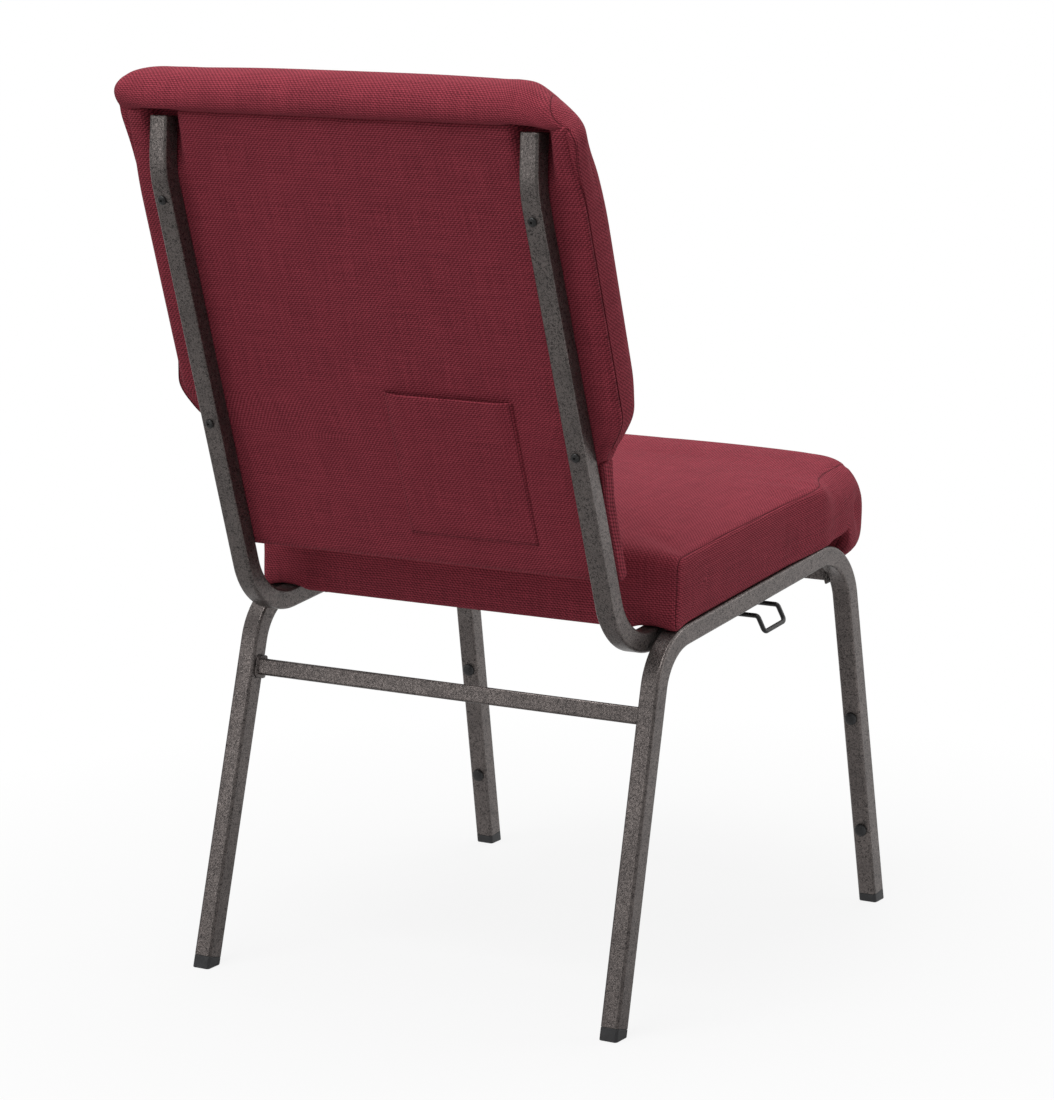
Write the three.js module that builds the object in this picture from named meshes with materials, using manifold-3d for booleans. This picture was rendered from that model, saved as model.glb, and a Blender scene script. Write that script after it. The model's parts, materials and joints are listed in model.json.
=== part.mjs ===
// A stacking choir chair: a welded frame of square steel tube with an upholstered seat and back.
// Millimetres. +Z is up, the sitter faces -Y, and the floor is Z = 0.
// The origin is on the floor, under the middle of the chair's own box.

import * as THREE from 'three';
import { mergeVertices } from 'three/addons/utils/BufferGeometryUtils.js';
import Module from 'manifold-3d';

const wasm = await Module();
wasm.setup();

const degrees = THREE.MathUtils.degToRad;
const { smoothstep, lerp } = THREE.MathUtils;
const SIDES = { left: 1, right: -1 };

// Driving dimensions, in millimetres and degrees
const GAP = 0.3; // between pieces that touch
const TUBE = { side: 19.05, wall: 1.5, corner: 2.6 };
const BAR = { height: 15.9, depth: 12.7, wall: 1.5, corner: 2.0 };

// Each side frame is one bent tube: rear leg, seat rail and front leg
const LEGS = { halfWidth: 225, halfSpacing: 247.7, splay: 0.92, rearRake: 16.2, frontRake: 7.86, bend: 56 };
const RAIL = { height: 351.5, tilt: 5.06 }; // its centre line over Y = 0

// Each upright runs beside the rail, bends up behind the seat and curves forward at its top
const UPRIGHT = {
  halfWidth: 200.35, lean: 0.34, runFront: -150, recline: 15.86, reclineY: 90.0,
  topVertex: 763.7, topBend: 21, top: 812, bend: 60, topBendRadius: 90,
};
const CROSS_BARS = { rearHeight: 276.4, rearSetIn: 4.0, frontY: -190, frontHeight: 341 };

const GLIDE = { height: 10, spigot: 16, reach: 18 };
const BUMPER = { heights: [77, 193], stem: 2.3, stemLength: 8, head: 6.3, rise: 4.8 };
const WELD = { length: 190, height: 12, middleY: -18 };
const PLUG = { flange: 1.5, spigot: 11 };

const SEAT = {
  halfWidth: 231, rear: -134, boardHalfWidth: 214, boardRear: -127, boardFront: 200, board: 12,
  sideHeight: 69.5, crown: 17, rollCentre: 223.8, rollHeight: 11.2, roll: 48, rollCrown: 8.5,
};
const SEAT_SCREWS = { rearY: 68, frontY: -125, shank: 2.9, head: 5.5, headHeight: 4.5 };

const BACK = {
  halfWidth: 236, flare: 7, lowerHalfWidth: 205, bottom: 2, seam: 434.5, top: 467, taperLow: 120, taperHigh: 157,
  lowerThickness: 19, thickness: 53, crown: 12, fullFrom: 188, rollBulge: 4.5,
};
const BACK_BOARD = { rear: 5.0, thickness: 10, edge: 6, curveFrom: 362, curveForward: 24, top: 440 };
const BACK_SCREWS = { heights: [526.3, 739.0], shank: 2.9, head: 4.4, headHeight: 2.6 };
const TEE_NUT = { flange: 9.5, flangeThick: 1.2, barrelOut: 4.0, barrelIn: 3.4, barrel: 8 };
const POCKET = { left: 7, right: -129, bottom: 33, top: 173, mouth: 7.0, wall: 1.3 };

const WIRE = 2.25; // radius of the ganging wires
const GANGING = {
  y: -29, drop: 27.5, innerEnd: 108, turnIn: 8, bracketFrom: 112, bracketTo: 184, bracketLength: 66,
  plate: 2, hole: 2.8, screwSpacing: 44,
};
const HOOK = { reach: 236.95, halfGap: 19, dropDown: 15 };
const LOOP = { reach: 238.95, halfGap: 25, lower: 5.1 };

// Colours and finishes
const finish = (color, roughness, metalness = 0) => new THREE.MeshStandardMaterial({ color, roughness, metalness });
const veinCoat = finish(0x55504d, 0.45, 0.4);
const burgundy = finish(0x6d2536, 0.9);
const plywood = finish(0xb58a5a, 0.7);
const blackPlastic = finish(0x17181a, 0.5);
const blackCloth = finish(0x202022, 0.95);
const blackSteel = finish(0x1d1e20, 0.4, 0.7);
const zinc = finish(0xb9bcc0, 0.35, 0.9);

const chair = new THREE.Group();

// Solids and cuts

function solidOf(geometry) {
  const plain = geometry.clone();
  plain.deleteAttribute('normal');
  plain.deleteAttribute('uv');
  const merged = mergeVertices(plain, 1e-3);
  return new wasm.Manifold(new wasm.Mesh({
    numProp: 3,
    vertProperties: new Float32Array(merged.attributes.position.array),
    triVerts: new Uint32Array(merged.index.array),
  }));
}

function geometryOf(solid) {
  const mesh = solid.getMesh();
  const geometry = new THREE.BufferGeometry();
  geometry.setAttribute('position', new THREE.BufferAttribute(new Float32Array(mesh.vertProperties), 3));
  geometry.setIndex(new THREE.BufferAttribute(new Uint32Array(mesh.triVerts), 1));
  geometry.computeVertexNormals();
  return geometry;
}

const cutAway = (geometry, cutters) => geometryOf(
  cutters.reduce((solid, cutter) => solid.subtract(solidOf(cutter)), solidOf(geometry)));

const joined = (geometries) => geometryOf(geometries.map(solidOf).reduce((sum, next) => sum.add(next)));

function addPiece(name, geometry, material, parent = chair) {
  const mesh = new THREE.Mesh(geometry, material.clone());
  mesh.name = name;
  parent.add(mesh);
  return mesh;
}

// Places a geometry so that its own Z runs along direction and its X stays the chair's X
function placed(geometry, point, direction) {
  const along = direction.clone().normalize();
  const across = new THREE.Vector3(1, 0, 0);
  across.addScaledVector(along, -across.dot(along)).normalize();
  const turn = new THREE.Matrix4().makeBasis(across, along.clone().cross(across), along);
  return geometry.clone().applyMatrix4(turn).translate(point.x, point.y, point.z);
}

function rod(radius, from, to, sides = 12) {
  const axis = to.clone().sub(from);
  const cylinder = new THREE.CylinderGeometry(radius, radius, axis.length(), sides).rotateX(Math.PI / 2);
  const turn = new THREE.Quaternion().setFromUnitVectors(new THREE.Vector3(0, 0, 1), axis.clone().normalize());
  const middle = from.clone().lerp(to, 0.5);
  return cylinder.applyQuaternion(turn).translate(middle.x, middle.y, middle.z);
}

function roundedRectangle(width, height, corner) {
  const [x, y] = [width / 2 - corner, height / 2 - corner];
  const shape = new THREE.Shape();
  shape.absarc(x, y, corner, 0, Math.PI / 2);
  shape.absarc(-x, y, corner, Math.PI / 2, Math.PI);
  shape.absarc(-x, -y, corner, Math.PI, 1.5 * Math.PI);
  shape.absarc(x, -y, corner, 1.5 * Math.PI, 2 * Math.PI);
  return shape;
}

function rectangleHole(width, height) {
  const [x, y] = [width / 2, height / 2];
  return new THREE.Path([[-x, -y], [-x, y], [x, y], [x, -y]].map(([u, v]) => new THREE.Vector2(u, v)));
}

function hollowSection(width, height, wall, corner) {
  const section = roundedRectangle(width, height, corner);
  section.holes.push(rectangleHole(width - 2 * wall, height - 2 * wall));
  return section;
}

// A bent line: straight runs joined by arcs, with a station wherever a ring of the tube stands
class BentLine extends THREE.Curve {
  constructor(corners, radii, stepsPerBend) {
    super();
    const directions = corners.slice(1).map((corner, i) => corner.clone().sub(corners[i]).normalize());
    this.stations = [{ point: corners[0], tangent: directions[0] }];
    radii.forEach((radius, i) => this.addBend(corners[i + 1], directions[i], directions[i + 1], radius, stepsPerBend));
    this.stations.push({ point: corners.at(-1), tangent: directions.at(-1) });
    this.steps = this.stations.length - 1;
  }

  addBend(corner, before, after, radius, steps) {
    const turn = before.angleTo(after);
    const inward = after.clone().addScaledVector(before, -before.dot(after)).normalize();
    const start = corner.clone().addScaledVector(before, -radius * Math.tan(turn / 2));
    for (let i = 0; i <= steps; i++) {
      const angle = (turn * i) / steps;
      const point = start.clone().addScaledVector(before, radius * Math.sin(angle));
      point.addScaledVector(inward, radius * (1 - Math.cos(angle)));
      const tangent = before.clone().multiplyScalar(Math.cos(angle)).addScaledVector(inward, Math.sin(angle));
      this.stations.push({ point, tangent });
    }
  }

  getPointAt(u) {
    return this.stations[Math.round(u * this.steps)].point.clone();
  }

  getTangentAt(u) {
    return this.stations[Math.round(u * this.steps)].tangent.clone();
  }
}

const sweep = (section, line) => new THREE.ExtrudeGeometry(section, {
  steps: line.steps, extrudePath: line, curveSegments: 1, bevelEnabled: false,
});

// A closed skin through rows of equal loops, with a flat fan at each end
function loft(rows) {
  const count = rows[0].length;
  const positions = rows.flat().flatMap((p) => [p.x, p.y, p.z]);
  const faces = [];
  for (let row = 0; row < rows.length - 1; row++) {
    for (let i = 0; i < count; i++) {
      const [a, b] = [row * count + i, row * count + ((i + 1) % count)];
      faces.push(a, b, b + count, a, b + count, a + count);
    }
  }
  [rows[0], rows.at(-1)].forEach((row, end) => {
    const middle = row.reduce((sum, p) => sum.add(p), new THREE.Vector3()).divideScalar(count);
    const hub = positions.push(middle.x, middle.y, middle.z) / 3 - 1;
    const first = end * (rows.length - 1) * count;
    for (let i = 0; i < count; i++) {
      const [a, b] = [first + i, first + ((i + 1) % count)];
      faces.push(...(end ? [a, b, hub] : [b, a, hub]));
    }
  });
  const geometry = new THREE.BufferGeometry();
  geometry.setAttribute('position', new THREE.Float32BufferAttribute(positions, 3));
  geometry.setIndex(faces);
  geometry.computeVertexNormals();
  return geometry;
}

// Lines of the side view, as points (0, Y, Z)

const sidePoint = (y, z) => new THREE.Vector3(0, y, z);
const slope = (angle) => Math.tan(degrees(angle));
const rearLegY = (z) => LEGS.halfSpacing - slope(LEGS.rearRake) * z;
const frontLegY = (z) => -LEGS.halfSpacing + slope(LEGS.frontRake) * z;
const railZ = (y) => RAIL.height - slope(RAIL.tilt) * y;
const uprightY = (z) => UPRIGHT.reclineY + slope(UPRIGHT.recline) * z;

// Where the rail's line meets a sloping line y = base + rise * z
const meetRail = (base, rise) => {
  const z = (RAIL.height - slope(RAIL.tilt) * base) / (1 + slope(RAIL.tilt) * rise);
  return sidePoint(base + rise * z, z);
};

const rearLegUp = sidePoint(-slope(LEGS.rearRake), 1).normalize();
const frontLegUp = sidePoint(slope(LEGS.frontRake), 1).normalize();
const railForward = sidePoint(-Math.cos(degrees(RAIL.tilt)), Math.sin(degrees(RAIL.tilt)));
const railUp = sidePoint(Math.sin(degrees(RAIL.tilt)), Math.cos(degrees(RAIL.tilt)));
const backUp = sidePoint(slope(UPRIGHT.recline), 1).normalize();
const backForward = sidePoint(-backUp.z, backUp.y);
const topUp = sidePoint(slope(UPRIGHT.recline - UPRIGHT.topBend), 1).normalize();

// A side's plane leans: its points move across the chair and turn about the Y axis
function onSide(geometry, side, halfWidth, lean) {
  return geometry.clone().rotateY(-side * degrees(lean)).translate(side * halfWidth, 0, 0);
}
const onLegs = (geometry, side) => onSide(geometry, side, LEGS.halfWidth, LEGS.splay);
const onUpright = (geometry, side) => onSide(geometry, side, UPRIGHT.halfWidth, UPRIGHT.lean);
const legX = (z) => LEGS.halfWidth - slope(LEGS.splay) * z;
const uprightX = (z) => UPRIGHT.halfWidth - slope(UPRIGHT.lean) * z;

// Side frames, glides and bumpers

const tubeSection = hollowSection(TUBE.side, TUBE.side, TUBE.wall, TUBE.corner);
const spigotSide = TUBE.side - 2 * TUBE.wall - 2 * GAP;

function legEnd(legY, up) {
  return sidePoint(legY(0), 0).addScaledVector(up, GLIDE.height);
}
const rearLegEnd = legEnd(rearLegY, rearLegUp);
const frontLegEnd = legEnd(frontLegY, frontLegUp);

const sideFrameLine = new BentLine([
  rearLegEnd,
  meetRail(LEGS.halfSpacing, -slope(LEGS.rearRake)),
  meetRail(-LEGS.halfSpacing, slope(LEGS.frontRake)),
  frontLegEnd,
], [LEGS.bend, LEGS.bend], 6);

const frontLegRear = sidePoint(frontLegUp.z, -frontLegUp.y);
const bumperSeat = (z) => sidePoint(frontLegY(z), z).addScaledVector(frontLegRear, TUBE.side / 2 + GAP);

function bumperHole(z) {
  const seatPoint = bumperSeat(z);
  const inside = seatPoint.clone().addScaledVector(frontLegRear, -TUBE.side / 2);
  return rod(BUMPER.stem + 0.4, inside, seatPoint.clone().addScaledVector(frontLegRear, 2));
}

function bumper() {
  const { stem, stemLength, head, rise } = BUMPER;
  const profile = [[0, -stemLength], [stem, -stemLength], [stem, 0], [head, 0], [head, rise * 0.35],
    [head * 0.85, rise * 0.72], [head * 0.5, rise * 0.95], [0, rise]];
  return new THREE.LatheGeometry(profile.map(([r, z]) => new THREE.Vector2(r, z)), 14).rotateX(Math.PI / 2);
}

// A cap as wide as the tube with a spigot up inside it; Z runs into the tube
function tubePlug(capLength, spigotLength) {
  const cap = new THREE.ExtrudeGeometry(roundedRectangle(TUBE.side, TUBE.side, TUBE.corner), {
    depth: capLength, curveSegments: 1, bevelEnabled: false,
  }).translate(0, 0, -capLength);
  const spigot = new THREE.BoxGeometry(spigotSide, spigotSide, spigotLength + 1);
  return joined([cap, spigot.translate(0, 0, (spigotLength - 1) / 2)]);
}

const floorBlock = new THREE.BoxGeometry(900, 900, 100).translate(0, 0, -50);

function footGlide(end, up, side) {
  const below = end.clone().addScaledVector(up, -GAP);
  return cutAway(onLegs(placed(tubePlug(GLIDE.reach, GLIDE.spigot), below, up), side), [floorBlock]);
}

for (const [name, side] of Object.entries(SIDES)) {
  const frame = cutAway(sweep(tubeSection, sideFrameLine), BUMPER.heights.map(bumperHole));
  addPiece(`${name}_side_frame`, onLegs(frame, side), veinCoat);
  addPiece(`rear_${name}_foot_glide`, footGlide(rearLegEnd, rearLegUp, side), blackPlastic);
  addPiece(`front_${name}_foot_glide`, footGlide(frontLegEnd, frontLegUp, side), blackPlastic);
  BUMPER.heights.forEach((z, i) => {
    const button = placed(bumper(), bumperSeat(z), frontLegRear);
    addPiece(`${name}_${['lower', 'upper'][i]}_bumper`, onLegs(button, side), blackPlastic);
  });
}

// Cross bars

function crossBar(name, centre, up, halfLength) {
  const line = new BentLine([new THREE.Vector3(-halfLength, 0, 0), new THREE.Vector3(halfLength, 0, 0)], [], 0);
  const bar = sweep(hollowSection(BAR.height, BAR.depth, BAR.wall, BAR.corner), line);
  bar.rotateX(Math.atan2(-up.y, up.z)).translate(0, centre.y, centre.z);
  addPiece(name, bar, veinCoat);
}

const barReach = (z) => legX(z) - TUBE.side / 2 - GAP - 0.2; // 0.2 allows for the legs' splay over the bar
const rearBarCentre = sidePoint(rearLegY(CROSS_BARS.rearHeight), CROSS_BARS.rearHeight)
  .addScaledVector(sidePoint(rearLegUp.z, -rearLegUp.y), -CROSS_BARS.rearSetIn);
crossBar('rear_cross_bar', rearBarCentre, rearLegUp, barReach(rearBarCentre.z));
crossBar('front_cross_bar', sidePoint(CROSS_BARS.frontY, CROSS_BARS.frontHeight), railUp,
  barReach(CROSS_BARS.frontHeight));

// Uprights, their end caps, and the strips that weld them to the rails

const topVertex = sidePoint(uprightY(UPRIGHT.topVertex), UPRIGHT.topVertex);
const uprightTop = topVertex.clone().addScaledVector(topUp, (UPRIGHT.top - UPRIGHT.topVertex) / topUp.z);
const uprightTubeEnd = uprightTop.clone().addScaledVector(topUp, -PLUG.flange - GAP);
const runFront = sidePoint(UPRIGHT.runFront, railZ(UPRIGHT.runFront));
const uprightCorners = [runFront, meetRail(UPRIGHT.reclineY, slope(UPRIGHT.recline)), topVertex, uprightTubeEnd];
const uprightLine = new BentLine(uprightCorners, [UPRIGHT.bend, UPRIGHT.topBendRadius], 6);

const onUprightLine = (z) => sidePoint(uprightY(z), z);
const backScrewAxis = (z) => [
  onUprightLine(z).addScaledVector(backForward, -TUBE.side / 2 - GAP),
  onUprightLine(z).addScaledVector(backForward, TUBE.side / 2),
];
const seatScrewFoot = (y) => sidePoint(y, railZ(y)).addScaledVector(railUp, -TUBE.side / 2 - GAP);

const uprightHoles = [
  ...BACK_SCREWS.heights.map((z) => {
    const [rear, front] = backScrewAxis(z);
    return rod(BACK_SCREWS.shank + 0.5, rear.addScaledVector(backForward, -3), front.addScaledVector(backForward, 3));
  }),
  ...[SEAT_SCREWS.rearY, SEAT_SCREWS.frontY].map((y) => {
    const foot = seatScrewFoot(y);
    return rod(SEAT_SCREWS.shank + 0.5, foot.clone().addScaledVector(railUp, -3),
      foot.clone().addScaledVector(railUp, TUBE.side + 3));
  }),
];
const uprightTube = cutAway(sweep(tubeSection, uprightLine), uprightHoles);
const topCap = placed(tubePlug(PLUG.flange, PLUG.spigot), uprightTop.clone().addScaledVector(topUp, -PLUG.flange),
  topUp.clone().negate());
const runPlug = placed(tubePlug(PLUG.flange, PLUG.spigot), runFront.clone().addScaledVector(railForward, GAP),
  railForward.clone().negate());

for (const [name, side] of Object.entries(SIDES)) {
  addPiece(`${name}_upright`, onUpright(uprightTube, side), veinCoat);
  addPiece(`${name}_upright_cap`, onUpright(topCap, side), veinCoat);
  addPiece(`${name}_run_plug`, onUpright(runPlug, side), blackPlastic);

  const z = railZ(WELD.middleY);
  const [outer, inner] = [legX(z) - TUBE.side / 2, uprightX(z) + TUBE.side / 2];
  const strip = new THREE.BoxGeometry(outer - inner - 2 * GAP, WELD.length, WELD.height);
  strip.rotateX(-degrees(RAIL.tilt)).rotateY(-side * degrees((LEGS.splay + UPRIGHT.lean) / 2));
  addPiece(`${name}_weld_strip`, strip.translate((side * (outer + inner)) / 2, WELD.middleY, z), veinCoat);
}

// Seat: points are given across the chair, forward along the rail and up from the rail's top

const railTop = sidePoint(0, RAIL.height).addScaledVector(railUp, TUBE.side / 2);
railTop.addScaledVector(railForward, -railTop.y / railForward.y);
const seatPoint = (across, forward, up) => railTop.clone()
  .addScaledVector(railForward, forward).addScaledVector(railUp, up).setX(across);

const seatPlace = new THREE.Matrix4().makeBasis(new THREE.Vector3(-1, 0, 0), railForward, railUp)
  .setPosition(railTop);

// A flat plate on the seat's own plane, from a shape in (across, forward)
function seatPlate(shape, low, thickness) {
  const plate = new THREE.ExtrudeGeometry(shape, { depth: thickness, curveSegments: 3, bevelEnabled: false });
  return plate.translate(0, 0, low).applyMatrix4(seatPlace);
}

function seatOutline(halfWidth, rear, front, corner) {
  const outline = roundedRectangle(2 * halfWidth, front - rear, corner).extractPoints(2).shape;
  return new THREE.Shape(outline.map((p) => new THREE.Vector2(p.x, p.y + (front + rear) / 2)));
}

// The cushion's half-width, highest and lowest line, from the rear face to the front of its roll
const seatRear = SEAT.rear;
const rollFront = SEAT.rollCentre + SEAT.roll;

function seatHalfWidth(forward) {
  const drawnIn = 17 * smoothstep(forward, 130, 262);
  const past = Math.max(0, (forward - SEAT.rollCentre) / (rollFront - SEAT.rollCentre));
  return SEAT.halfWidth - drawnIn - 26 * (1 - Math.sqrt(Math.max(0, 1 - past * past)));
}

// A row of the seat cushion: a loop across the chair at one place along it
function seatRow(forward, low, high, edge, corner, crown, halfWidth, bow) {
  const right = [
    [halfWidth - 6, low], [halfWidth - 2.5, lerp(low, high, 0.3)], [halfWidth, lerp(low, high, 0.62)],
    [halfWidth - 0.8, high - corner * 0.75], [halfWidth - corner * 0.42, high - corner * 0.22],
    [halfWidth - corner * 1.3, high + edge * 0.35],
  ];
  const across = [0.72, 0.4, 0];
  const top = across.map((k) => [halfWidth * k, high + edge + crown * (1 - k * k)]);
  const bottom = [[halfWidth * 0.5, low], [0, low]];
  const half = [...right, ...top.slice(0, 2)];
  const mirrored = (list) => list.map(([x, h]) => [-x, h]).reverse();
  const loop = [bottom[1], bottom[0], ...half, top[2], ...mirrored(half), [-bottom[0][0], low]];
  return loop.map(([x, h]) => seatPoint(x, forward + bow * (1 - (x / SEAT.halfWidth) ** 2), h));
}

function seatCushion() {
  const rows = [];
  const { sideHeight, rollCentre, rollHeight, roll, rollCrown, crown } = SEAT;
  const bottomEdge = GAP;
  // Rear face with a rounded upper edge
  [[0, 30], [1.5, 14], [7, 5], [18, 1], [34, 0]].forEach(([inset, drop]) => {
    const swell = smoothstep(inset, 0, 34);
    rows.push(seatRow(seatRear + inset, bottomEdge, sideHeight - drop, 1 + 2 * swell, 14, 2 + (crown - 10) * swell,
      SEAT.halfWidth - 5 * (1 - swell), 0));
  });
  // The flat of the seat, over the board
  [-60, 0, 60, 120, 165].forEach((forward) => {
    const lift = Math.sin((Math.PI * (forward - seatRear)) / (rollFront - seatRear + 90));
    const fall = 10 * smoothstep(forward, 90, rollCentre);
    rows.push(seatRow(forward, bottomEdge, sideHeight - fall, 3, 14, 6 + (crown - 6) * lift,
      seatHalfWidth(forward), 0));
  });
  // The rolled front edge
  const low = rollHeight - roll;
  rows.push(seatRow(SEAT.boardFront - 2, bottomEdge, 61, 2, 18, 13, seatHalfWidth(SEAT.boardFront), 1));
  rows.push(seatRow(SEAT.boardFront + 6, low + 4, 60.3, 2, 20, 12, seatHalfWidth(SEAT.boardFront + 6), 2));
  [0, 22, 42, 58, 72, 83].forEach((angle) => {
    const [rise, reach] = [Math.cos(degrees(angle)), Math.sin(degrees(angle))];
    rows.push(seatRow(rollCentre + roll * reach, rollHeight - roll * rise, rollHeight + roll * rise, rollCrown * rise,
      22 * rise, 3 * rise, seatHalfWidth(rollCentre + roll * reach), 8 * reach));
  });
  return loft(rows);
}

const boardTop = GAP + SEAT.board;
const boardOutline = seatOutline(SEAT.boardHalfWidth, SEAT.boardRear, SEAT.boardFront, 30);
const boardRoom = seatPlate(
  seatOutline(SEAT.boardHalfWidth + GAP, SEAT.boardRear - GAP, SEAT.boardFront + GAP, 30), -60, boardTop + 60 + GAP);

// Seat screws stand square to the rail, through the upright's run, the cover cloth and the board
const seatScrewPlaces = Object.values(SIDES).flatMap((side) => [SEAT_SCREWS.rearY, SEAT_SCREWS.frontY].map((y) => {
  const foot = seatScrewFoot(y);
  return { foot: foot.setX(side * uprightX(foot.z)) };
}));
const screwTop = TUBE.side + 2 * GAP + SEAT.board;

const alongScrew = (foot, distance) => foot.clone().addScaledVector(railUp, distance);

function seatScrew({ foot }) {
  const shank = rod(SEAT_SCREWS.shank, alongScrew(foot, -1), alongScrew(foot, screwTop));
  const head = rod(SEAT_SCREWS.head, alongScrew(foot, -SEAT_SCREWS.headHeight), foot, 6);
  const washer = rod(SEAT_SCREWS.head + 1.6, alongScrew(foot, -1.2), foot, 14);
  return joined([head, washer, shank]);
}

// A tee nut: a flange on the far face of the board and a barrel down its hole
function teeNut(face, direction) {
  const lift = face.clone().addScaledVector(direction, GAP);
  const { flange, flangeThick, barrelOut, barrelIn, barrel } = TEE_NUT;
  const top = lift.clone().addScaledVector(direction, flangeThick);
  const bottom = lift.clone().addScaledVector(direction, -barrel);
  const body = joined([rod(flange, lift, top), rod(barrelOut, bottom, top)]);
  return cutAway(body, [rod(barrelIn, bottom.clone().addScaledVector(direction, -1),
    top.clone().addScaledVector(direction, 1))]);
}

const seatTeePlaces = seatScrewPlaces.map(({ foot }) => alongScrew(foot, TUBE.side + 2 * GAP + SEAT.board));
const teeRoom = (face, direction) => rod(TEE_NUT.flange + 0.7, face.clone().addScaledVector(direction, -1),
  face.clone().addScaledVector(direction, TEE_NUT.flangeThick + 2.2));
const teeBore = (face, direction, depth) => rod(TEE_NUT.barrelOut + GAP,
  face.clone().addScaledVector(direction, -depth - 2), face.clone().addScaledVector(direction, 2));

addPiece('seat_cushion', cutAway(seatCushion(), [boardRoom, ...seatTeePlaces.map((face) => teeRoom(face, railUp))]),
  burgundy);
seatTeePlaces.forEach((face, i) => addPiece(`seat_tee_nut_${i + 1}`, teeNut(face, railUp), zinc));
seatScrewPlaces.forEach((place, i) => addPiece(`seat_screw_${i + 1}`, seatScrew(place), blackSteel));

// Ganging hook and loop, each a bent wire that slides across the chair in its own bracket

const gangingBase = railTop.clone().addScaledVector(railForward, (GANGING.y - railTop.y) / railForward.y);
// Across the chair on one side, forward along the rail and down from the rail's top
const gangPoint = (side, across, forward, down) => gangingBase.clone()
  .addScaledVector(railForward, forward).addScaledVector(railUp, -down).setX(side * across);

function gangingWire(side, { reach, halfGap, dropDown = 0, lower = 0 }) {
  const down = GANGING.drop + lower;
  const { innerEnd, turnIn } = GANGING;
  const half = (sign) => [
    gangPoint(side, innerEnd, sign * (halfGap - turnIn), down),
    gangPoint(side, innerEnd, sign * halfGap, down),
    gangPoint(side, reach, sign * halfGap, down),
    ...(dropDown ? [gangPoint(side, reach + 1.5, sign * halfGap, down + dropDown)] : []),
  ];
  const corners = [...half(-1), ...half(1).reverse()];
  const radii = corners.slice(1, -1).map(() => 4);
  const circle = new THREE.Shape().absarc(0, 0, WIRE, 0, 2 * Math.PI);
  return new THREE.ExtrudeGeometry(new THREE.Shape(circle.getSpacedPoints(8).slice(0, 8)), {
    steps: 2 + corners.length * 4 - 11, extrudePath: new BentLine(corners, radii, 3), bevelEnabled: false,
  });
}

function gangingBracket(side, halfGap, down) {
  const { bracketFrom, bracketTo, bracketLength, plate, hole } = GANGING;
  const depth = down + WIRE + 4;
  const profile = new THREE.Shape([[bracketFrom, 1.5], [bracketTo, 1.5], [bracketTo, depth], [bracketTo - plate, depth],
    [bracketTo - plate, 1.5 + plate], [bracketFrom + plate, 1.5 + plate], [bracketFrom + plate, depth],
    [bracketFrom, depth]].map(([x, y]) => new THREE.Vector2(x, -y)));
  const channel = new THREE.ExtrudeGeometry(profile, { depth: bracketLength, bevelEnabled: false })
    .translate(0, 0, -bracketLength / 2);
  const across = new THREE.Vector3(side, 0, 0);
  const length = railForward.clone().multiplyScalar(side);
  channel.applyMatrix4(new THREE.Matrix4().makeBasis(across, railUp, length).setPosition(gangingBase));
  const wireHoles = [-1, 1].map((sign) => rod(hole, gangPoint(side, bracketFrom - 5, sign * halfGap, down),
    gangPoint(side, bracketTo + 5, sign * halfGap, down)));
  const screwHoles = bracketScrewPlaces(side).map((place) => rod(2.2, alongScrew(place, -8), alongScrew(place, 8)));
  return cutAway(channel, [...wireHoles, ...screwHoles]);
}

function bracketScrewPlaces(side) {
  const across = (GANGING.bracketFrom + GANGING.bracketTo) / 2;
  return [-1, 1].map((sign) => gangPoint(side, across, (sign * GANGING.screwSpacing) / 2, 0));
}

// A wood screw: a low head under the bracket and a shank up into the board
function woodScrew(place) {
  const under = -1.5 - GANGING.plate - GAP;
  return joined([rod(3.8, alongScrew(place, under - 2), alongScrew(place, under)),
    rod(1.7, alongScrew(place, under - 1), alongScrew(place, 9), 8)]);
}

const hookSide = SIDES.right;
const loopSide = SIDES.left;
addPiece('hook_bracket', gangingBracket(hookSide, HOOK.halfGap, GANGING.drop), blackSteel);
addPiece('loop_bracket', gangingBracket(loopSide, LOOP.halfGap, GANGING.drop + LOOP.lower), blackSteel);
addPiece('ganging_hook', gangingWire(hookSide, HOOK), blackSteel);
addPiece('ganging_loop', gangingWire(loopSide, LOOP), blackSteel);
const bracketScrews = Object.values(SIDES).flatMap(bracketScrewPlaces);
bracketScrews.forEach((place, i) => addPiece(`bracket_screw_${i + 1}`, woodScrew(place), blackSteel));

addPiece('seat_board', cutAway(seatPlate(boardOutline, GAP, SEAT.board), [
  ...seatTeePlaces.map((face) => teeBore(face, railUp, SEAT.board)),
  ...bracketScrews.map((place) => rod(2.1, alongScrew(place, -1), alongScrew(place, 9.6), 8)),
]), plywood);

// Back: points are given across the chair, up along the recline and forward from the uprights' front faces

const backFoot = sidePoint(uprightY(400), 400).addScaledVector(backForward, TUBE.side / 2);
backFoot.addScaledVector(backUp, (400 - backFoot.z) / backUp.z);
const backPoint = (across, up, forward) => backFoot.clone()
  .addScaledVector(backUp, up).addScaledVector(backForward, forward).setX(across);
const backHeight = (z) => (z - backFoot.z) / backUp.z; // distance up the back of a height above the floor

function backHalfWidth(up) {
  const taper = smoothstep(up, BACK.taperLow, BACK.taperHigh);
  const flare = BACK.flare * smoothstep(up, BACK.seam - 60, BACK.seam);
  return lerp(BACK.lowerHalfWidth, BACK.halfWidth, taper) + flare;
}

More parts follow.
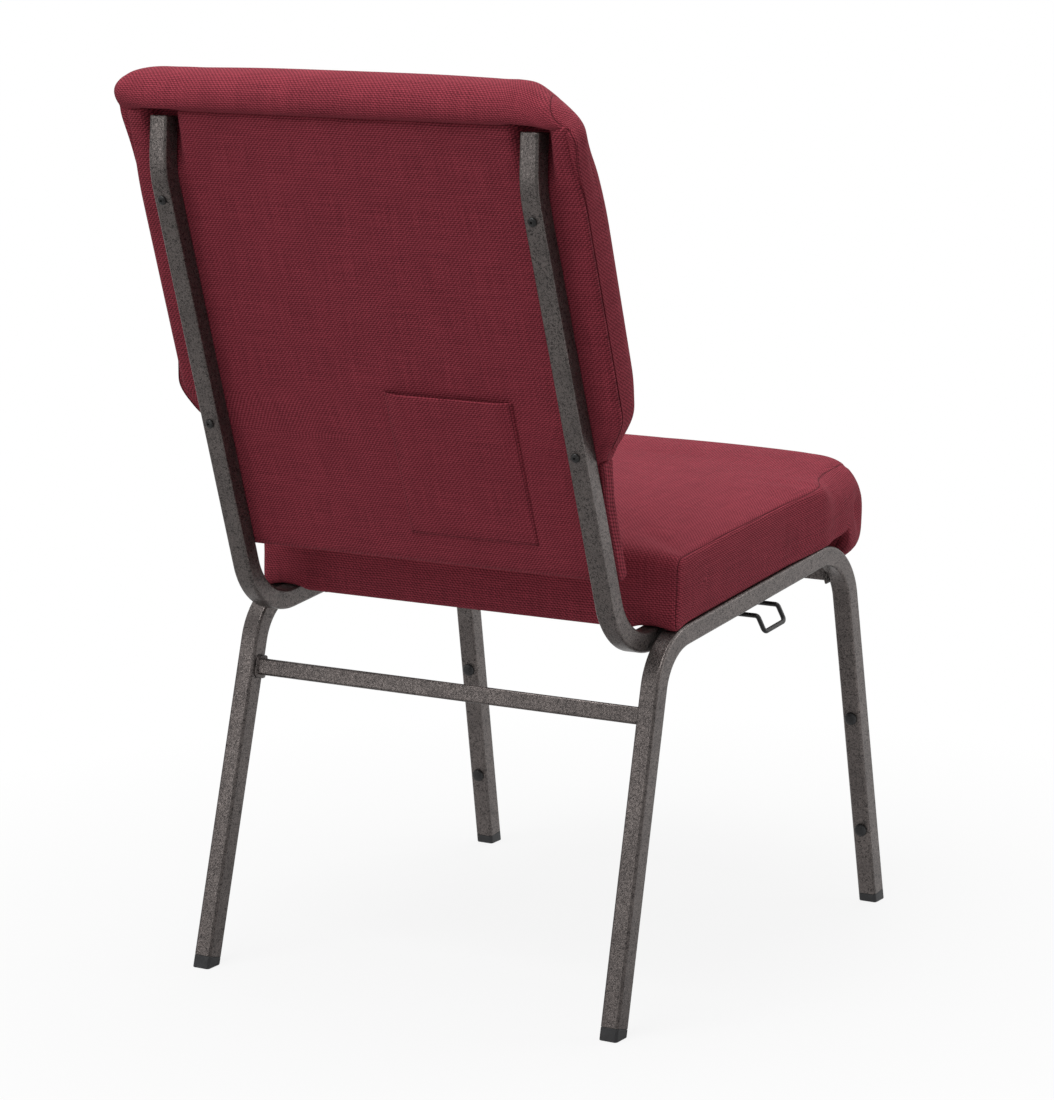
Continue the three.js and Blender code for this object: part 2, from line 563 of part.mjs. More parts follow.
// A row of the back: a loop across the chair at one height, from its rear line to its front line
function backRow(up, rear, front, halfWidth, roundness, crown) {
  const depth = front - rear;
  const round = Math.min(roundness, depth * 0.5);
  const side = [
    [halfWidth - Math.min(4, depth * 0.2), rear], [halfWidth, rear + Math.min(5, depth * 0.3)],
    [halfWidth, front - round], [halfWidth - round * 0.13, front - round * 0.5],
    [halfWidth - round * 0.5, front - round * 0.13], [halfWidth - round * 1.1, front],
  ];
  const face = [0.66, 0.34, 0].map((k) => [halfWidth * k, front + crown * (1 - k * k)]);
  const half = [[halfWidth * 0.5, rear], ...side, ...face.slice(0, 2)];
  const mirrored = half.map(([x, n]) => [-x, n]).reverse();
  return [[0, rear], ...half, face[2], ...mirrored].map(([x, n]) => backPoint(x, up, n)).reverse();
}

function backForm() {
  const rows = [];
  const { bottom, taperLow, lowerThickness, thickness, crown, fullFrom, seam, top, rollBulge } = BACK;
  // The narrow lower panel
  [[bottom, 4], [bottom + 3, 1], [60, 0], [taperLow - 4, 0]].forEach(([up, thin]) => {
    rows.push(backRow(up, GAP + thin * 0.3, lowerThickness - thin, BACK.lowerHalfWidth - thin, 4, 0));
  });
  // The cushion grows to its full depth over the taper
  [122, 128, 138, 150, 163, fullFrom].forEach((up) => {
    const grow = Math.sqrt(1 - (1 - (up - taperLow) / (fullFrom - taperLow)) ** 2);
    rows.push(backRow(up, GAP, lerp(lowerThickness, thickness, grow), backHalfWidth(up), 26 * grow, crown * 0.6 * grow));
  });
  // The full cushion
  [240, 310, 375, seam - 14].forEach((up) => {
    const swell = 0.6 + 0.4 * Math.sin((Math.PI * (up - fullFrom)) / (seam - fullFrom));
    rows.push(backRow(up, GAP, thickness, backHalfWidth(up), 26, crown * swell));
  });
  // The rolled top
  const [rollUp, rollMiddle] = [top - seam, thickness * 0.42];
  [2, 20, 40, 58, 73, 85].forEach((angle) => {
    const [rise, spread] = [Math.sin(degrees(angle)), Math.cos(degrees(angle))];
    const bulge = angle > 2 ? rollBulge : 0;
    const halfWidth = backHalfWidth(seam) - 62 * (1 - Math.sqrt(1 - (rise * 0.97) ** 4));
    rows.push(backRow(seam + rollUp * rise, rollMiddle - (rollMiddle - GAP + bulge) * spread,
      rollMiddle + (thickness + 4 - rollMiddle) * spread, halfWidth, 24 * spread, 5 * spread));
  });
  return loft(rows);
}

// The board inside: a keyhole outline, bent forward at its top as the uprights are
function keyhole(inset, top) {
  const [low, high] = [BACK.lowerHalfWidth - inset, BACK.halfWidth - inset];
  const corner = 14;
  const shape = new THREE.Shape();
  shape.moveTo(-low, BACK.bottom + inset);
  shape.lineTo(low, BACK.bottom + inset);
  shape.lineTo(low, BACK.taperLow + inset * 0.4);
  shape.lineTo(high, BACK.taperHigh + inset * 0.4);
  shape.lineTo(high, top - corner);
  shape.absarc(high - corner, top - corner, corner, 0, Math.PI / 2);
  shape.absarc(-high + corner, top - corner, corner, Math.PI / 2, Math.PI);
  shape.lineTo(-high, BACK.taperHigh + inset * 0.4);
  shape.lineTo(-low, BACK.taperLow + inset * 0.4);
  return shape;
}

// X across, Y up the back, Z forward out of it
const backPlace = new THREE.Matrix4().makeBasis(new THREE.Vector3(1, 0, 0), backUp, backForward)
  .setPosition(backFoot);

const backPrism = (shape, from, to) => new THREE.ExtrudeGeometry(shape, {
  depth: to - from, curveSegments: 3, bevelEnabled: false,
}).translate(0, 0, from).applyMatrix4(backPlace);

// How far forward the bent board lies at a height up the back
const boardForward = (up) => BACK_BOARD.curveForward
  * Math.max(0, (up - BACK_BOARD.curveFrom) / (BACK_BOARD.top - BACK_BOARD.curveFrom)) ** 2;
const boardHeights = [-20, BACK_BOARD.curveFrom, 388, 412, BACK_BOARD.top, 480];

// A slab right across the chair between two lines of the side view, forward of the uprights
function bentSlab(rearLine, frontLine, heights) {
  const rear = heights.map((up) => [up, rearLine(up)]);
  const front = heights.map((up) => [up, frontLine(up)]).reverse();
  const loopAt = (x) => [...rear, ...front].map(([up, forward]) => backPoint(x, up, forward));
  return solidOf(loftPrism(loopAt(300), loopAt(-300)));
}

// A prism between two equal loops, closed by triangulating the loop's own shape
function loftPrism(first, second) {
  const flat = first.map((p) => new THREE.Vector2(p.y, p.z));
  if (THREE.ShapeUtils.isClockWise(flat)) return loftPrism([...first].reverse(), [...second].reverse());
  const faces = THREE.ShapeUtils.triangulateShape(flat, []);
  const count = first.length;
  const indices = [];
  for (let i = 0; i < count; i++) {
    const next = (i + 1) % count;
    indices.push(i, i + count, next, next, i + count, next + count);
  }
  faces.forEach(([a, b, c]) => indices.push(a, b, c, a + count, c + count, b + count));
  const geometry = new THREE.BufferGeometry();
  geometry.setAttribute('position', new THREE.Float32BufferAttribute([...first, ...second]
    .flatMap((p) => [p.x, p.y, p.z]), 3));
  geometry.setIndex(indices);
  return geometry;
}

const boardSlab = (grow) => bentSlab((up) => BACK_BOARD.rear + GAP - grow + boardForward(up),
  (up) => BACK_BOARD.rear + GAP + BACK_BOARD.thickness + grow + boardForward(up), boardHeights);
const boardKeyhole = (grow) => solidOf(backPrism(keyhole(BACK_BOARD.edge - grow, BACK_BOARD.top + grow), -40, 80));
const boardSolid = (grow) => boardSlab(grow).intersect(boardKeyhole(grow));

// The outer back fills the space behind the board, out to the uprights' plane
const outerBackTop = BACK.seam - 1;
const outerSlab = (grow) => bentSlab(() => -30, (up) => BACK_BOARD.rear + grow + boardForward(up), boardHeights);
const outerKeyhole = (grow) => solidOf(backPrism(keyhole(3 - grow, outerBackTop + grow), -40, 80));
const outerSpace = (grow) => outerSlab(grow).intersect(outerKeyhole(grow));

const uprightBulk = (side) => {
  const section = roundedRectangle(TUBE.side + 2 * GAP + 0.4, TUBE.side + 2 * GAP + 0.4, TUBE.corner);
  const above = uprightTop.clone().addScaledVector(topUp, 1.2);
  const line = new BentLine([...uprightCorners.slice(1, 3), above], [UPRIGHT.topBendRadius], 6);
  return onUpright(sweep(section, line), side);
};
const uprightBulks = Object.values(SIDES).map(uprightBulk);

// Back screws, square to the back, with their tee nuts on the front of the board
const backScrewPlaces = Object.values(SIDES).flatMap((side) => BACK_SCREWS.heights.map((z) => {
  const [rear] = backScrewAxis(z);
  return rear.setX(side * uprightX(rear.z));
}));
const backScrewReach = TUBE.side + GAP + BACK_BOARD.rear + GAP + BACK_BOARD.thickness;
const intoBack = (rear, distance) => rear.clone().addScaledVector(backForward, distance);

function backScrew(rear) {
  const { shank, head, headHeight } = BACK_SCREWS;
  return joined([
    rod(shank, intoBack(rear, -1), intoBack(rear, backScrewReach + 3)),
    rod(head, intoBack(rear, -headHeight * 0.6), rear),
    rod(head * 0.72, intoBack(rear, -headHeight), rear),
  ]);
}

// The board bends away above its curve, so a tee nut there stands where its own screw meets the board
const backTeePlaces = backScrewPlaces.map((rear) => {
  const bend = boardForward(backHeight(rear.z) + 1);
  return intoBack(rear, backScrewReach + bend + GAP);
});
const backBores = backScrewPlaces.map((rear) => rod(TEE_NUT.barrelOut + GAP, intoBack(rear, 0), intoBack(rear, 60)));
const coverBores = backScrewPlaces.map((rear) => rod(BACK_SCREWS.shank + 0.5, intoBack(rear, 0), intoBack(rear, 30)));

const wholeBack = solidOf(backForm());
const subtractAll = (solid, cutters) => cutters.reduce((rest, cutter) => rest.subtract(solidOf(cutter)), solid);

addPiece('back_board', geometryOf(subtractAll(boardSolid(0), backBores)), plywood);
addPiece('outer_back', geometryOf(subtractAll(wholeBack.intersect(outerSpace(0)), [...uprightBulks, ...coverBores])),
  burgundy);
const cushionBody = wholeBack.subtract(boardSolid(GAP)).subtract(outerSpace(GAP));
addPiece('back_cushion', geometryOf(subtractAll(cushionBody, [
  ...uprightBulks, ...backTeePlaces.map((face) => teeRoom(face, backForward))])), burgundy);
backTeePlaces.forEach((face, i) => addPiece(`back_tee_nut_${i + 1}`, teeNut(face, backForward), zinc));
backScrewPlaces.forEach((rear, i) => addPiece(`back_screw_${i + 1}`, backScrew(rear), blackSteel));

// Card pocket: an open-topped patch that stands off the outer back
function pocketProfile(rows) {
  return rows.map(([up, out]) => [POCKET.bottom + up, -out]);
}

function pocketPrism(profile, left, right) {
  const loopAt = (x) => profile.map(([up, forward]) => backPoint(x, up, forward));
  return solidOf(loftPrism(loopAt(left), loopAt(right)));
}

const pocketHeight = POCKET.top - POCKET.bottom;
const pocketOuter = pocketPrism(pocketProfile([[0, 0], [pocketHeight, 0], [pocketHeight, POCKET.mouth + POCKET.wall],
  [40, POCKET.mouth * 0.75 + POCKET.wall], [4, 3.4], [0, 2]]), POCKET.left, POCKET.right);
const pocketInner = pocketPrism(pocketProfile([[3, -2], [pocketHeight + 2, -2], [pocketHeight + 2, POCKET.mouth],
  [40, POCKET.mouth * 0.75], [6, 2]]), POCKET.left - POCKET.wall, POCKET.right + POCKET.wall);
addPiece('card_pocket', geometryOf(pocketOuter.subtract(pocketInner)), burgundy);

// The cover cloth under the seat board
const clothOutline = seatOutline(183, SEAT.boardRear + 6, SEAT.boardFront - 8, 8);
const clothHoles = bracketScrews.map((place) => rod(2.2, alongScrew(place, -4), alongScrew(place, 4), 8));
addPiece('seat_underlining', cutAway(seatPlate(clothOutline, -0.9, 0.9), clothHoles), blackCloth);

// Stand the chair over its own middle
const box = new THREE.Box3().setFromObject(chair);
chair.position.y = -(box.min.y + box.max.y) / 2;
chair.updateMatrixWorld(true);

export default chair;
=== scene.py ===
# %% [markdown]
# # A stacking choir chair
# The chair has a bent steel frame, an upholstered seat and back, and two ganging wires that slide out to
# join it to its neighbours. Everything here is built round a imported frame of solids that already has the
# right sizes.

# %% Load the frame
import json
from math import atan2, cos, exp, hypot, pi, radians, sin, sqrt, tan

import bmesh
import bpy
from mathutils import Matrix, Vector, noise


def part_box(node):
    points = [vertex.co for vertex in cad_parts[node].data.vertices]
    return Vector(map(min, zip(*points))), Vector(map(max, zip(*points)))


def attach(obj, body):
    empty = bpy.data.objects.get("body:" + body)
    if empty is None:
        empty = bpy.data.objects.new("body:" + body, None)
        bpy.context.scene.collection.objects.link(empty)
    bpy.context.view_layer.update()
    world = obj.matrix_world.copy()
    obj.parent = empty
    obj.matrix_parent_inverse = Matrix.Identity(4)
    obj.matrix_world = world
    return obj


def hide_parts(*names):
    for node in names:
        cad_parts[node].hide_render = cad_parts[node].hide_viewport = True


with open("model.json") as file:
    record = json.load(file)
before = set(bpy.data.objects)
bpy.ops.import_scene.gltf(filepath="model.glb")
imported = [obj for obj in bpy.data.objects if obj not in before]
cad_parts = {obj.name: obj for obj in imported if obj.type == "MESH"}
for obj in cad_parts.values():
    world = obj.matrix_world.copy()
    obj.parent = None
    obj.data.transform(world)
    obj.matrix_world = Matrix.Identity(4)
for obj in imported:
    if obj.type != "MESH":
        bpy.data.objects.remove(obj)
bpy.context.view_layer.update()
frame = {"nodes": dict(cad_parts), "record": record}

# %% [markdown]
# ## The drawing
# The chair is drawn in millimetres, with Y zero midway between the feet. The frame's origin is under the
# middle of the whole chair instead, so every finished mesh is shifted along Y by one value and scaled to
# metres. A rear glide's lowest edge is at 257.62 mm in the drawing, which gives the shift.

# %% Drawing values
MM = 0.001
GLIDE_REAR = 257.62
SHIFT_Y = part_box("rear_left_foot_glide")[1].y - GLIDE_REAR * MM
LEFT, RIGHT = 1, -1
SIDES = (("left", LEFT), ("right", RIGHT))
TUBE, TUBE_CORNER = 19.05, 2.8
print("drawing to chair, along Y:", round(SHIFT_Y, 5))

# %% [markdown]
# ## Camera
# The view is from behind and a little above, over the sitter's right shoulder. A long lens stands nearly
# four metres away, as in a studio. The three axes of the camera are worked out from its heading, pitch
# and roll.

# %% Camera
def put(name, data):
    """Adds an object to the scene."""
    made = bpy.data.objects.new(name, data)
    bpy.context.scene.collection.objects.link(made)
    return made


heading, pitch, roll = radians(147.49), radians(-11.66), -0.020
forward = Vector((sin(heading) * cos(pitch), cos(heading) * cos(pitch), sin(pitch)))
level_right = forward.cross(Vector((0, 0, 1))).normalized()
level_up = level_right.cross(forward)
right = cos(roll) * level_right + sin(roll) * level_up
up = cos(roll) * level_up - sin(roll) * level_right

camera_data = bpy.data.cameras.new("studio_camera")
camera_data.sensor_width = 36
camera_data.lens = 135.05
camera_data.clip_end = 60
camera = put("studio_camera", camera_data)
turn = Matrix((right, up, -forward)).transposed().to_4x4()
stand = (-2.054062, 3.243760 + SHIFT_Y, 1.170076)
camera.matrix_world = Matrix.Translation(stand) @ turn
bpy.context.scene.camera = camera
bpy.context.scene.view_settings.view_transform = "Standard"
print("camera stands at", [round(v, 3) for v in camera.location])

# %% [markdown]
# ## Nodes for the finishes
# Each finish is a node tree. Adding a node, giving it its numbers and joining it to another node's output
# is the same work every time, so it has a helper, and so has one step of arithmetic.

# %% Helpers for the finishes
def add_node(tree, kind, inputs=None, **settings):
    """Adds a node. An input's value is a number, a colour, or the output of another node."""
    made = tree.nodes.new("ShaderNode" + kind)
    for name, value in settings.items():
        setattr(made, name, value)
    for socket, value in (inputs or {}).items():
        if isinstance(value, bpy.types.NodeSocket):
            tree.links.new(value, made.inputs[socket])
        else:
            made.inputs[socket].default_value = value
    return made


def reckon(tree, operation, first, second=0.0, third=0.0):
    return add_node(tree, "Math", {0: first, 1: second, 2: third}, operation=operation).outputs[0]


def mix_colour(tree, share, first, second):
    return add_node(tree, "Mix", {0: share, 6: first, 7: second}, data_type="RGBA").outputs[2]


def linear(red, green, blue):
    """A colour given as it looks on a screen, 0 to 255, as the numbers that a shader takes."""
    shades = (red, green, blue)
    return tuple(((v / 255 + 0.055) / 1.055) ** 2.4 if v > 10 else v / 3295 for v in shades) + (1,)


FINISH = "_finish"


def new_finish(name, **sockets):
    """A material and its shader. Its name starts with the name of the record's slot that it shows."""
    material = bpy.data.materials.new(name + FINISH)
    material.use_nodes = True
    tree = material.node_tree
    tree.nodes.clear()
    values = {key.replace("_", " "): value for key, value in sockets.items()}
    shader = add_node(tree, "BsdfPrincipled", values)
    output = add_node(tree, "OutputMaterial", {"Surface": shader.outputs[0]})
    output.name = "output"
    return material, tree, shader


def feed(tree, shader, **outputs):
    """Joins the outputs of nodes to the shader's own sockets."""
    for name, output in outputs.items():
        tree.links.new(output, shader.inputs[name.replace("_", " ")])


def object_noise(tree, scale, detail=2.0, roughness=0.5, distortion=0.0, stretch=(1, 1, 1)):
    """Noise in the chair's own space: scale is blotches per metre."""
    place = add_node(tree, "TexCoord").outputs["Object"]
    if stretch != (1, 1, 1):
        place = add_node(tree, "Mapping", {"Vector": place, "Scale": stretch}).outputs[0]
    values = {"Vector": place, "Scale": scale, "Detail": detail, "Roughness": roughness}
    return add_node(tree, "TexNoise", values | {"Distortion": distortion}).outputs[0]


def ramp(tree, value, low, high, start=0.0, end=1.0):
    """Takes low to start and high to end, and holds outside them."""
    return add_node(tree, "MapRange", {"Value": value, 1: low, 2: high, 3: start, 4: end}).outputs[0]


def bump(tree, height, distance, strength):
    return add_node(tree, "Bump", {"Height": height, "Distance": distance, "Strength": strength}).outputs[0]


print("a screen's middle grey in a shader:", round(linear(128, 128, 128)[0], 3))

# %% [markdown]
# ## The frame's finish
# The tube is powder coated in a bronze grey that wrinkles as it cures: fine worm-shaped ridges, lighter
# on top, with small bright glints wherever the light grazes them. Noise, folded about its middle, gives
# such ridges; they go into the colour, the roughness and the bump together.

# %% Frame coat
frame_coat, tree, shader = new_finish("frame_coat", Metallic=0.75, Roughness=0.36)
fold = reckon(tree, "ABSOLUTE", reckon(tree, "SUBTRACT", object_noise(tree, 420, 3, 0.55, 1.2), 0.5))
worms = ramp(tree, fold, 0.0, 0.13, 1.0, 0.0)
grit = object_noise(tree, 900, 2)
patches = object_noise(tree, 38, 2)
coat = mix_colour(tree, worms, linear(57, 53, 52), linear(122, 114, 111))
coat = mix_colour(tree, ramp(tree, patches, 0.35, 0.7, 0.0, 0.3), coat, linear(70, 65, 64))
coat_height = reckon(tree, "MULTIPLY_ADD", grit, 0.35, worms)
feed(tree, shader, Base_Color=coat, Roughness=ramp(tree, grit, 0.3, 0.7, 0.24, 0.42),
     Normal=bump(tree, coat_height, 0.00006, 0.8))
print("finish:", frame_coat.name)

# %% [markdown]
# ## Bent square tube
# A real frame starts as straight square tube that is drawn round formers. Here a rounded square is
# extruded along each straight run and spun round the centre of each bend, which is the same path the tube
# takes. The square itself is one face of a grid with its four corners bevelled.

# %% Helpers for tube
def square_face(width=TUBE, depth=TUBE, corner=TUBE_CORNER, segments=5):
    """A new mesh with one flat face in the XY plane: a rectangle with rounded corners."""
    bm = bmesh.new()
    made = bmesh.ops.create_grid(bm, x_segments=1, y_segments=1, size=0.5)["verts"]
    bmesh.ops.scale(bm, vec=(width, depth, 1), verts=made)
    bmesh.ops.bevel(bm, geom=made, offset=corner, segments=segments, profile=0.5, affect="VERTICES",
                    material=-1)
    return bm


def round_edges(bm, edges, offset, segments=3):
    bmesh.ops.bevel(bm, geom=edges, offset=offset, segments=segments, profile=0.5, affect="EDGES",
                    material=-1)


def move(bm, matrix):
    bmesh.ops.transform(bm, matrix=matrix, verts=bm.verts)


def face_outward(bm):
    bmesh.ops.recalc_face_normals(bm, faces=bm.faces)


def edges_of(geometry):
    return [e for e in geometry if isinstance(e, bmesh.types.BMEdge)]


def points_of(ring):
    return list({v for e in ring for v in e.verts})


def facing(direction, across=(1, 0, 0)):
    """Turns +Z to a direction and keeps X as near as it can to across."""
    z = direction.normalized()
    x = Vector(across)
    x = (x - z * x.dot(z)).normalized()
    return Matrix((x, z.cross(x), z)).transposed().to_4x4()


def extrude_ring(bm, ring, push):
    """Pushes a ring of edges along and returns the new ring."""
    made = bmesh.ops.extrude_edge_only(bm, edges=ring)["geom"]
    points = {v for v in made if isinstance(v, bmesh.types.BMVert)}
    bmesh.ops.translate(bm, vec=push, verts=list(points))
    return [e for e in edges_of(made) if set(e.verts) <= points]


def sweep_face(bm, corners, radii=(), steps=18):
    """Sweeps the one face in bm along a bent line, and closes the far end."""
    move(bm, Matrix.Translation(corners[0]) @ facing(corners[1] - corners[0]))
    ring, here = bm.edges[:], corners[0]
    for i, radius in enumerate(radii):
        corner = corners[i + 1]
        before, after = (corner - corners[i]).normalized(), (corners[i + 2] - corner).normalized()
        angle = before.angle(after)
        axis = before.cross(after).normalized()
        start = corner - before * radius * tan(angle / 2)
        ring = extrude_ring(bm, ring, start - here)
        centre = start + axis.cross(before) * radius
        spun = bmesh.ops.spin(bm, geom=points_of(ring) + ring, cent=centre, axis=axis, angle=angle,
                              steps=steps, use_duplicate=False)
        ring = edges_of(spun["geom_last"])
        here = corner + after * radius * tan(angle / 2)
    ring = extrude_ring(bm, ring, corners[-1] - here)
    bmesh.ops.contextual_create(bm, geom=ring)
    return ring


def into_object(name, bm):
    """Makes a mesh and its object, and ends the work on bm."""
    mesh = bpy.data.meshes.new(name)
    bm.to_mesh(mesh)
    bm.free()
    return put(name, mesh)


def finish_piece(bm, name, material, body="chair", replaces=(), flat_sides=False):
    """Takes a mesh from the drawing to the chair: metres, in place, riding on its body."""
    face_outward(bm)
    bmesh.ops.scale(bm, vec=(MM, MM, MM), verts=bm.verts)
    bmesh.ops.translate(bm, vec=(0, SHIFT_Y, 0), verts=bm.verts)
    for face in bm.faces:
        face.smooth = True
    piece = into_object(name, bm)
    piece.data.materials.append(material)
    if flat_sides:
        piece.modifiers.new("flat_sides", "WEIGHTED_NORMAL").keep_sharp = True
    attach(piece, body)
    if replaces:
        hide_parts(*replaces)
    print(f"{name}: {len(piece.data.polygons)} faces")
    return piece


print("tube:", TUBE, "mm square")

# %% [markdown]
# ## Lines of the side view
# Seen from the side, everything hangs on a few lines: the two legs, the seat rail between them, and the
# upright that runs beside the rail and bends up behind the seat. Each line is a height and a slope.

# %% Lines of the side view
def side(y, z):
    return Vector((0, y, z))


RECLINE, TOP_BEND = 15.86, 21
RAIL_Z, FOOT_Y, UPRIGHT_Y = 351.5, 247.7, 90
BEND_Z, TOP_Z = 763.7, 812
LEG_X, LEG_LEAN, LEG_LEAN_SLOPE = 225, 0.92, 0.01606
UPRIGHT_X, UPRIGHT_LEAN, UPRIGHT_LEAN_SLOPE = 200.35, 0.34, 0.006
rear_slope, front_slope, rail_slope, recline = (tan(radians(a)) for a in (-16.2, 7.86, 5.06, RECLINE))


def rail_z(y):
    return RAIL_Z - rail_slope * y


def meet_rail(base, slope):
    """Where the line y = base + slope * z meets the rail."""
    z = (RAIL_Z - rail_slope * base) / (1 + rail_slope * slope)
    return side(base + slope * z, z)


rear_up, front_up = side(rear_slope, 1).normalized(), side(front_slope, 1).normalized()
rail_up = side(rail_slope, 1).normalized()
rail_forward = side(-1, rail_slope).normalized()
back_up = side(recline, 1).normalized()
back_forward = side(-back_up.z, back_up.y)
top_up = side(tan(radians(RECLINE - TOP_BEND)), 1).normalized()
rear_foot, front_foot = side(FOOT_Y, 0), side(-FOOT_Y, 0)


def upright_at(z):
    """The middle line of the uprights' long run, at a height."""
    return side(UPRIGHT_Y + recline * z, z)


def upright_x(z):
    """How far that line lies from the middle of the chair."""
    return UPRIGHT_X - UPRIGHT_LEAN_SLOPE * z


def set_out(bm, sign, x, lean):
    """Takes a mesh from the side view to its side of the chair, and leans it outwards towards the floor."""
    move(bm, Matrix.Translation((sign * x, 0, 0)) @ Matrix.Rotation(-sign * radians(lean), 4, "Y"))


print("rail meets rear leg at", [round(v, 1) for v in meet_rail(FOOT_Y, rear_slope)])

# %% [markdown]
# ## Side frames
# A leg, the seat rail and the other leg are one length of tube with two bends of 56 mm radius. The tube
# stops 10 mm above the floor, where the glide's cap begins.

# %% Side frames
for name, sign in SIDES:
    bm = square_face()
    sweep_face(bm, [rear_foot + rear_up * 10, meet_rail(FOOT_Y, rear_slope),
                    meet_rail(-FOOT_Y, front_slope), front_foot + front_up * 10], [56, 56])
    set_out(bm, sign, LEG_X, LEG_LEAN)
    finish_piece(bm, f"{name}_leg_frame", frame_coat, replaces=[f"{name}_side_frame"], flat_sides=True)

# %% [markdown]
# ## Uprights
# Each upright begins beside the rail, under the seat, bends up behind it with a 60 mm radius, and curves
# forward at its top, where it sinks into the padding. Its end is closed with a plate and ground smooth,
# so the edge round the end face is bevelled here instead of being a plate of its own.

# %% Uprights
bend = upright_at(BEND_Z)
upright_line = [side(-150, rail_z(-150)), meet_rail(UPRIGHT_Y, recline), bend,
                bend + top_up * ((TOP_Z - BEND_Z) / top_up.z)]
for name, sign in SIDES:
    bm = square_face()
    round_edges(bm, sweep_face(bm, upright_line, [60, 90]), 1.3)
    set_out(bm, sign, UPRIGHT_X, UPRIGHT_LEAN)
    finish_piece(bm, f"{name}_back_upright", frame_coat,
                 replaces=[f"{name}_upright", f"{name}_upright_cap"], flat_sides=True)

# %% [markdown]
# ## Cross bars and their welds
# A flat bar of rectangular tube ties the rear legs, and another the front bends. A weld bead runs round
# each end: the bar's own outline, flared out towards the leg in three steps, with the small ripples a
# torch leaves.

# %% Cross bars
BAR_WIDTH, BAR_DEPTH, BEAD = 15.9, 12.7, 6.4


def cross_bar(name, centre, tilt, half):
    bm = square_face(BAR_WIDTH, BAR_DEPTH, 2.2)
    sweep_face(bm, [Vector((0, 0, -half)), Vector((0, 0, half))])
    move(bm, Matrix.Rotation(tilt, 4, "X") @ facing(Vector((1, 0, 0)), (0, 0, 1)))
    bmesh.ops.translate(bm, vec=centre, verts=bm.verts)
    finish_piece(bm, name + "_tube", frame_coat, replaces=[name], flat_sides=True)


def weld_bead(name, centre, tilt, half, sign):
    """A flared collar round the end of a bar, rippled as a weld is."""
    bm = square_face(BAR_WIDTH + BEAD, BAR_DEPTH + BEAD, 4.6, 10)
    ring = bm.edges[:]
    for step, grow in ((0.8, -1.3), (0.9, -2.2), (1.0, -2.9)):
        ring = extrude_ring(bm, ring, (0, 0, step))
        points = points_of(ring)
        widest = max(abs(v.co.x) for v in points)
        bmesh.ops.scale(bm, vec=((widest + grow) / widest,) * 2 + (1,), verts=points)
    bmesh.ops.contextual_create(bm, geom=ring)
    bmesh.ops.subdivide_edges(bm, edges=bm.edges, cuts=1)
    for v in bm.verts:
        ripple = sin(atan2(v.co.y, v.co.x) * 17) * 0.22 + noise.noise(v.co * 0.5) * 0.3
        v.co += Vector((v.co.x, v.co.y, 0)).normalized() * ripple
    move(bm, facing(Vector((-sign, 0, 0)), (0, 0, 1)))
    bmesh.ops.rotate(bm, matrix=Matrix.Rotation(tilt, 3, "X"), verts=bm.verts)
    bmesh.ops.translate(bm, vec=centre + Vector((sign * (half - 0.4), 0, 0)), verts=bm.verts)
    finish_piece(bm, name, frame_coat)


REAR_BAR_Z = 276.4
rear_bar_centre = side(FOOT_Y + rear_slope * REAR_BAR_Z, REAR_BAR_Z) - side(rear_up.z, -rear_up.y) * 4.0
for name, centre, line in (("rear_cross_bar", rear_bar_centre, rear_up),
                           ("front_cross_bar", side(-190, 341), rail_up)):
    tilt = atan2(-line.y, line.z)
    half = LEG_X - LEG_LEAN_SLOPE * centre.z - TUBE / 2
    cross_bar(name, centre, tilt, half)
    for word, sign in SIDES:
        weld_bead(f"{name}_{word}_weld", centre, tilt, half, sign)

# %% [markdown]
# ## Black plastic: glides and stacking bumpers
# The feet stand on moulded nylon glides, and two soft buttons on the back of each front leg keep stacked
# chairs from scratching. Both are matt black with a faint moulded grain and slightly greyer worn spots.

# %% Black plastic
def black_finish(name, shade, roughness, grain, worn):
    material, tree, shader = new_finish(name, Roughness=roughness)
    spots = ramp(tree, object_noise(tree, 120, 4, 0.6), 0.5, 0.8)
    colour = mix_colour(tree, spots, linear(shade, shade, shade + 2), linear(worn, worn, worn + 1))
    feed(tree, shader, Base_Color=colour, Normal=bump(tree, object_noise(tree, grain, 2), 0.00012, 0.5))
    return material


black_plastic = black_finish("black_plastic", 26, 0.5, 1800, 46)
black_rubber = black_finish("black_rubber", 22, 0.6, 1500, 40)


def foot_glide(name, foot, line, sign, replaces):
    bm = square_face()
    sweep_face(bm, [foot + line * 9.7, foot - line * 14])
    round_edges(bm, [e for e in bm.edges if all(v.co.z > foot.z + 6 for v in e.verts)], 0.5, 2)
    set_out(bm, sign, LEG_X, LEG_LEAN)
    cut = bmesh.ops.bisect_plane(bm, geom=bm.verts[:] + bm.edges[:] + bm.faces[:], plane_co=(0, 0, 0),
                                 plane_no=(0, 0, 1), clear_inner=True)
    sole = edges_of(cut["geom_cut"])
    bmesh.ops.contextual_create(bm, geom=sole)
    round_edges(bm, sole, 0.9)
    finish_piece(bm, name, black_plastic, replaces=replaces, flat_sides=True)


def turned(bm, profile, steps=32):
    """Spins a line of (radius, height) points about Z into a closed solid."""
    points = [bm.verts.new((r, 0, z)) for r, z in profile]
    edges = [bm.edges.new(pair) for pair in zip(points, points[1:])]
    bmesh.ops.spin(bm, geom=points + edges, cent=(0, 0, 0), axis=(0, 0, 1), angle=2 * pi, steps=steps,
                   use_merge=True)
    bmesh.ops.remove_doubles(bm, verts=bm.verts, dist=1e-4)


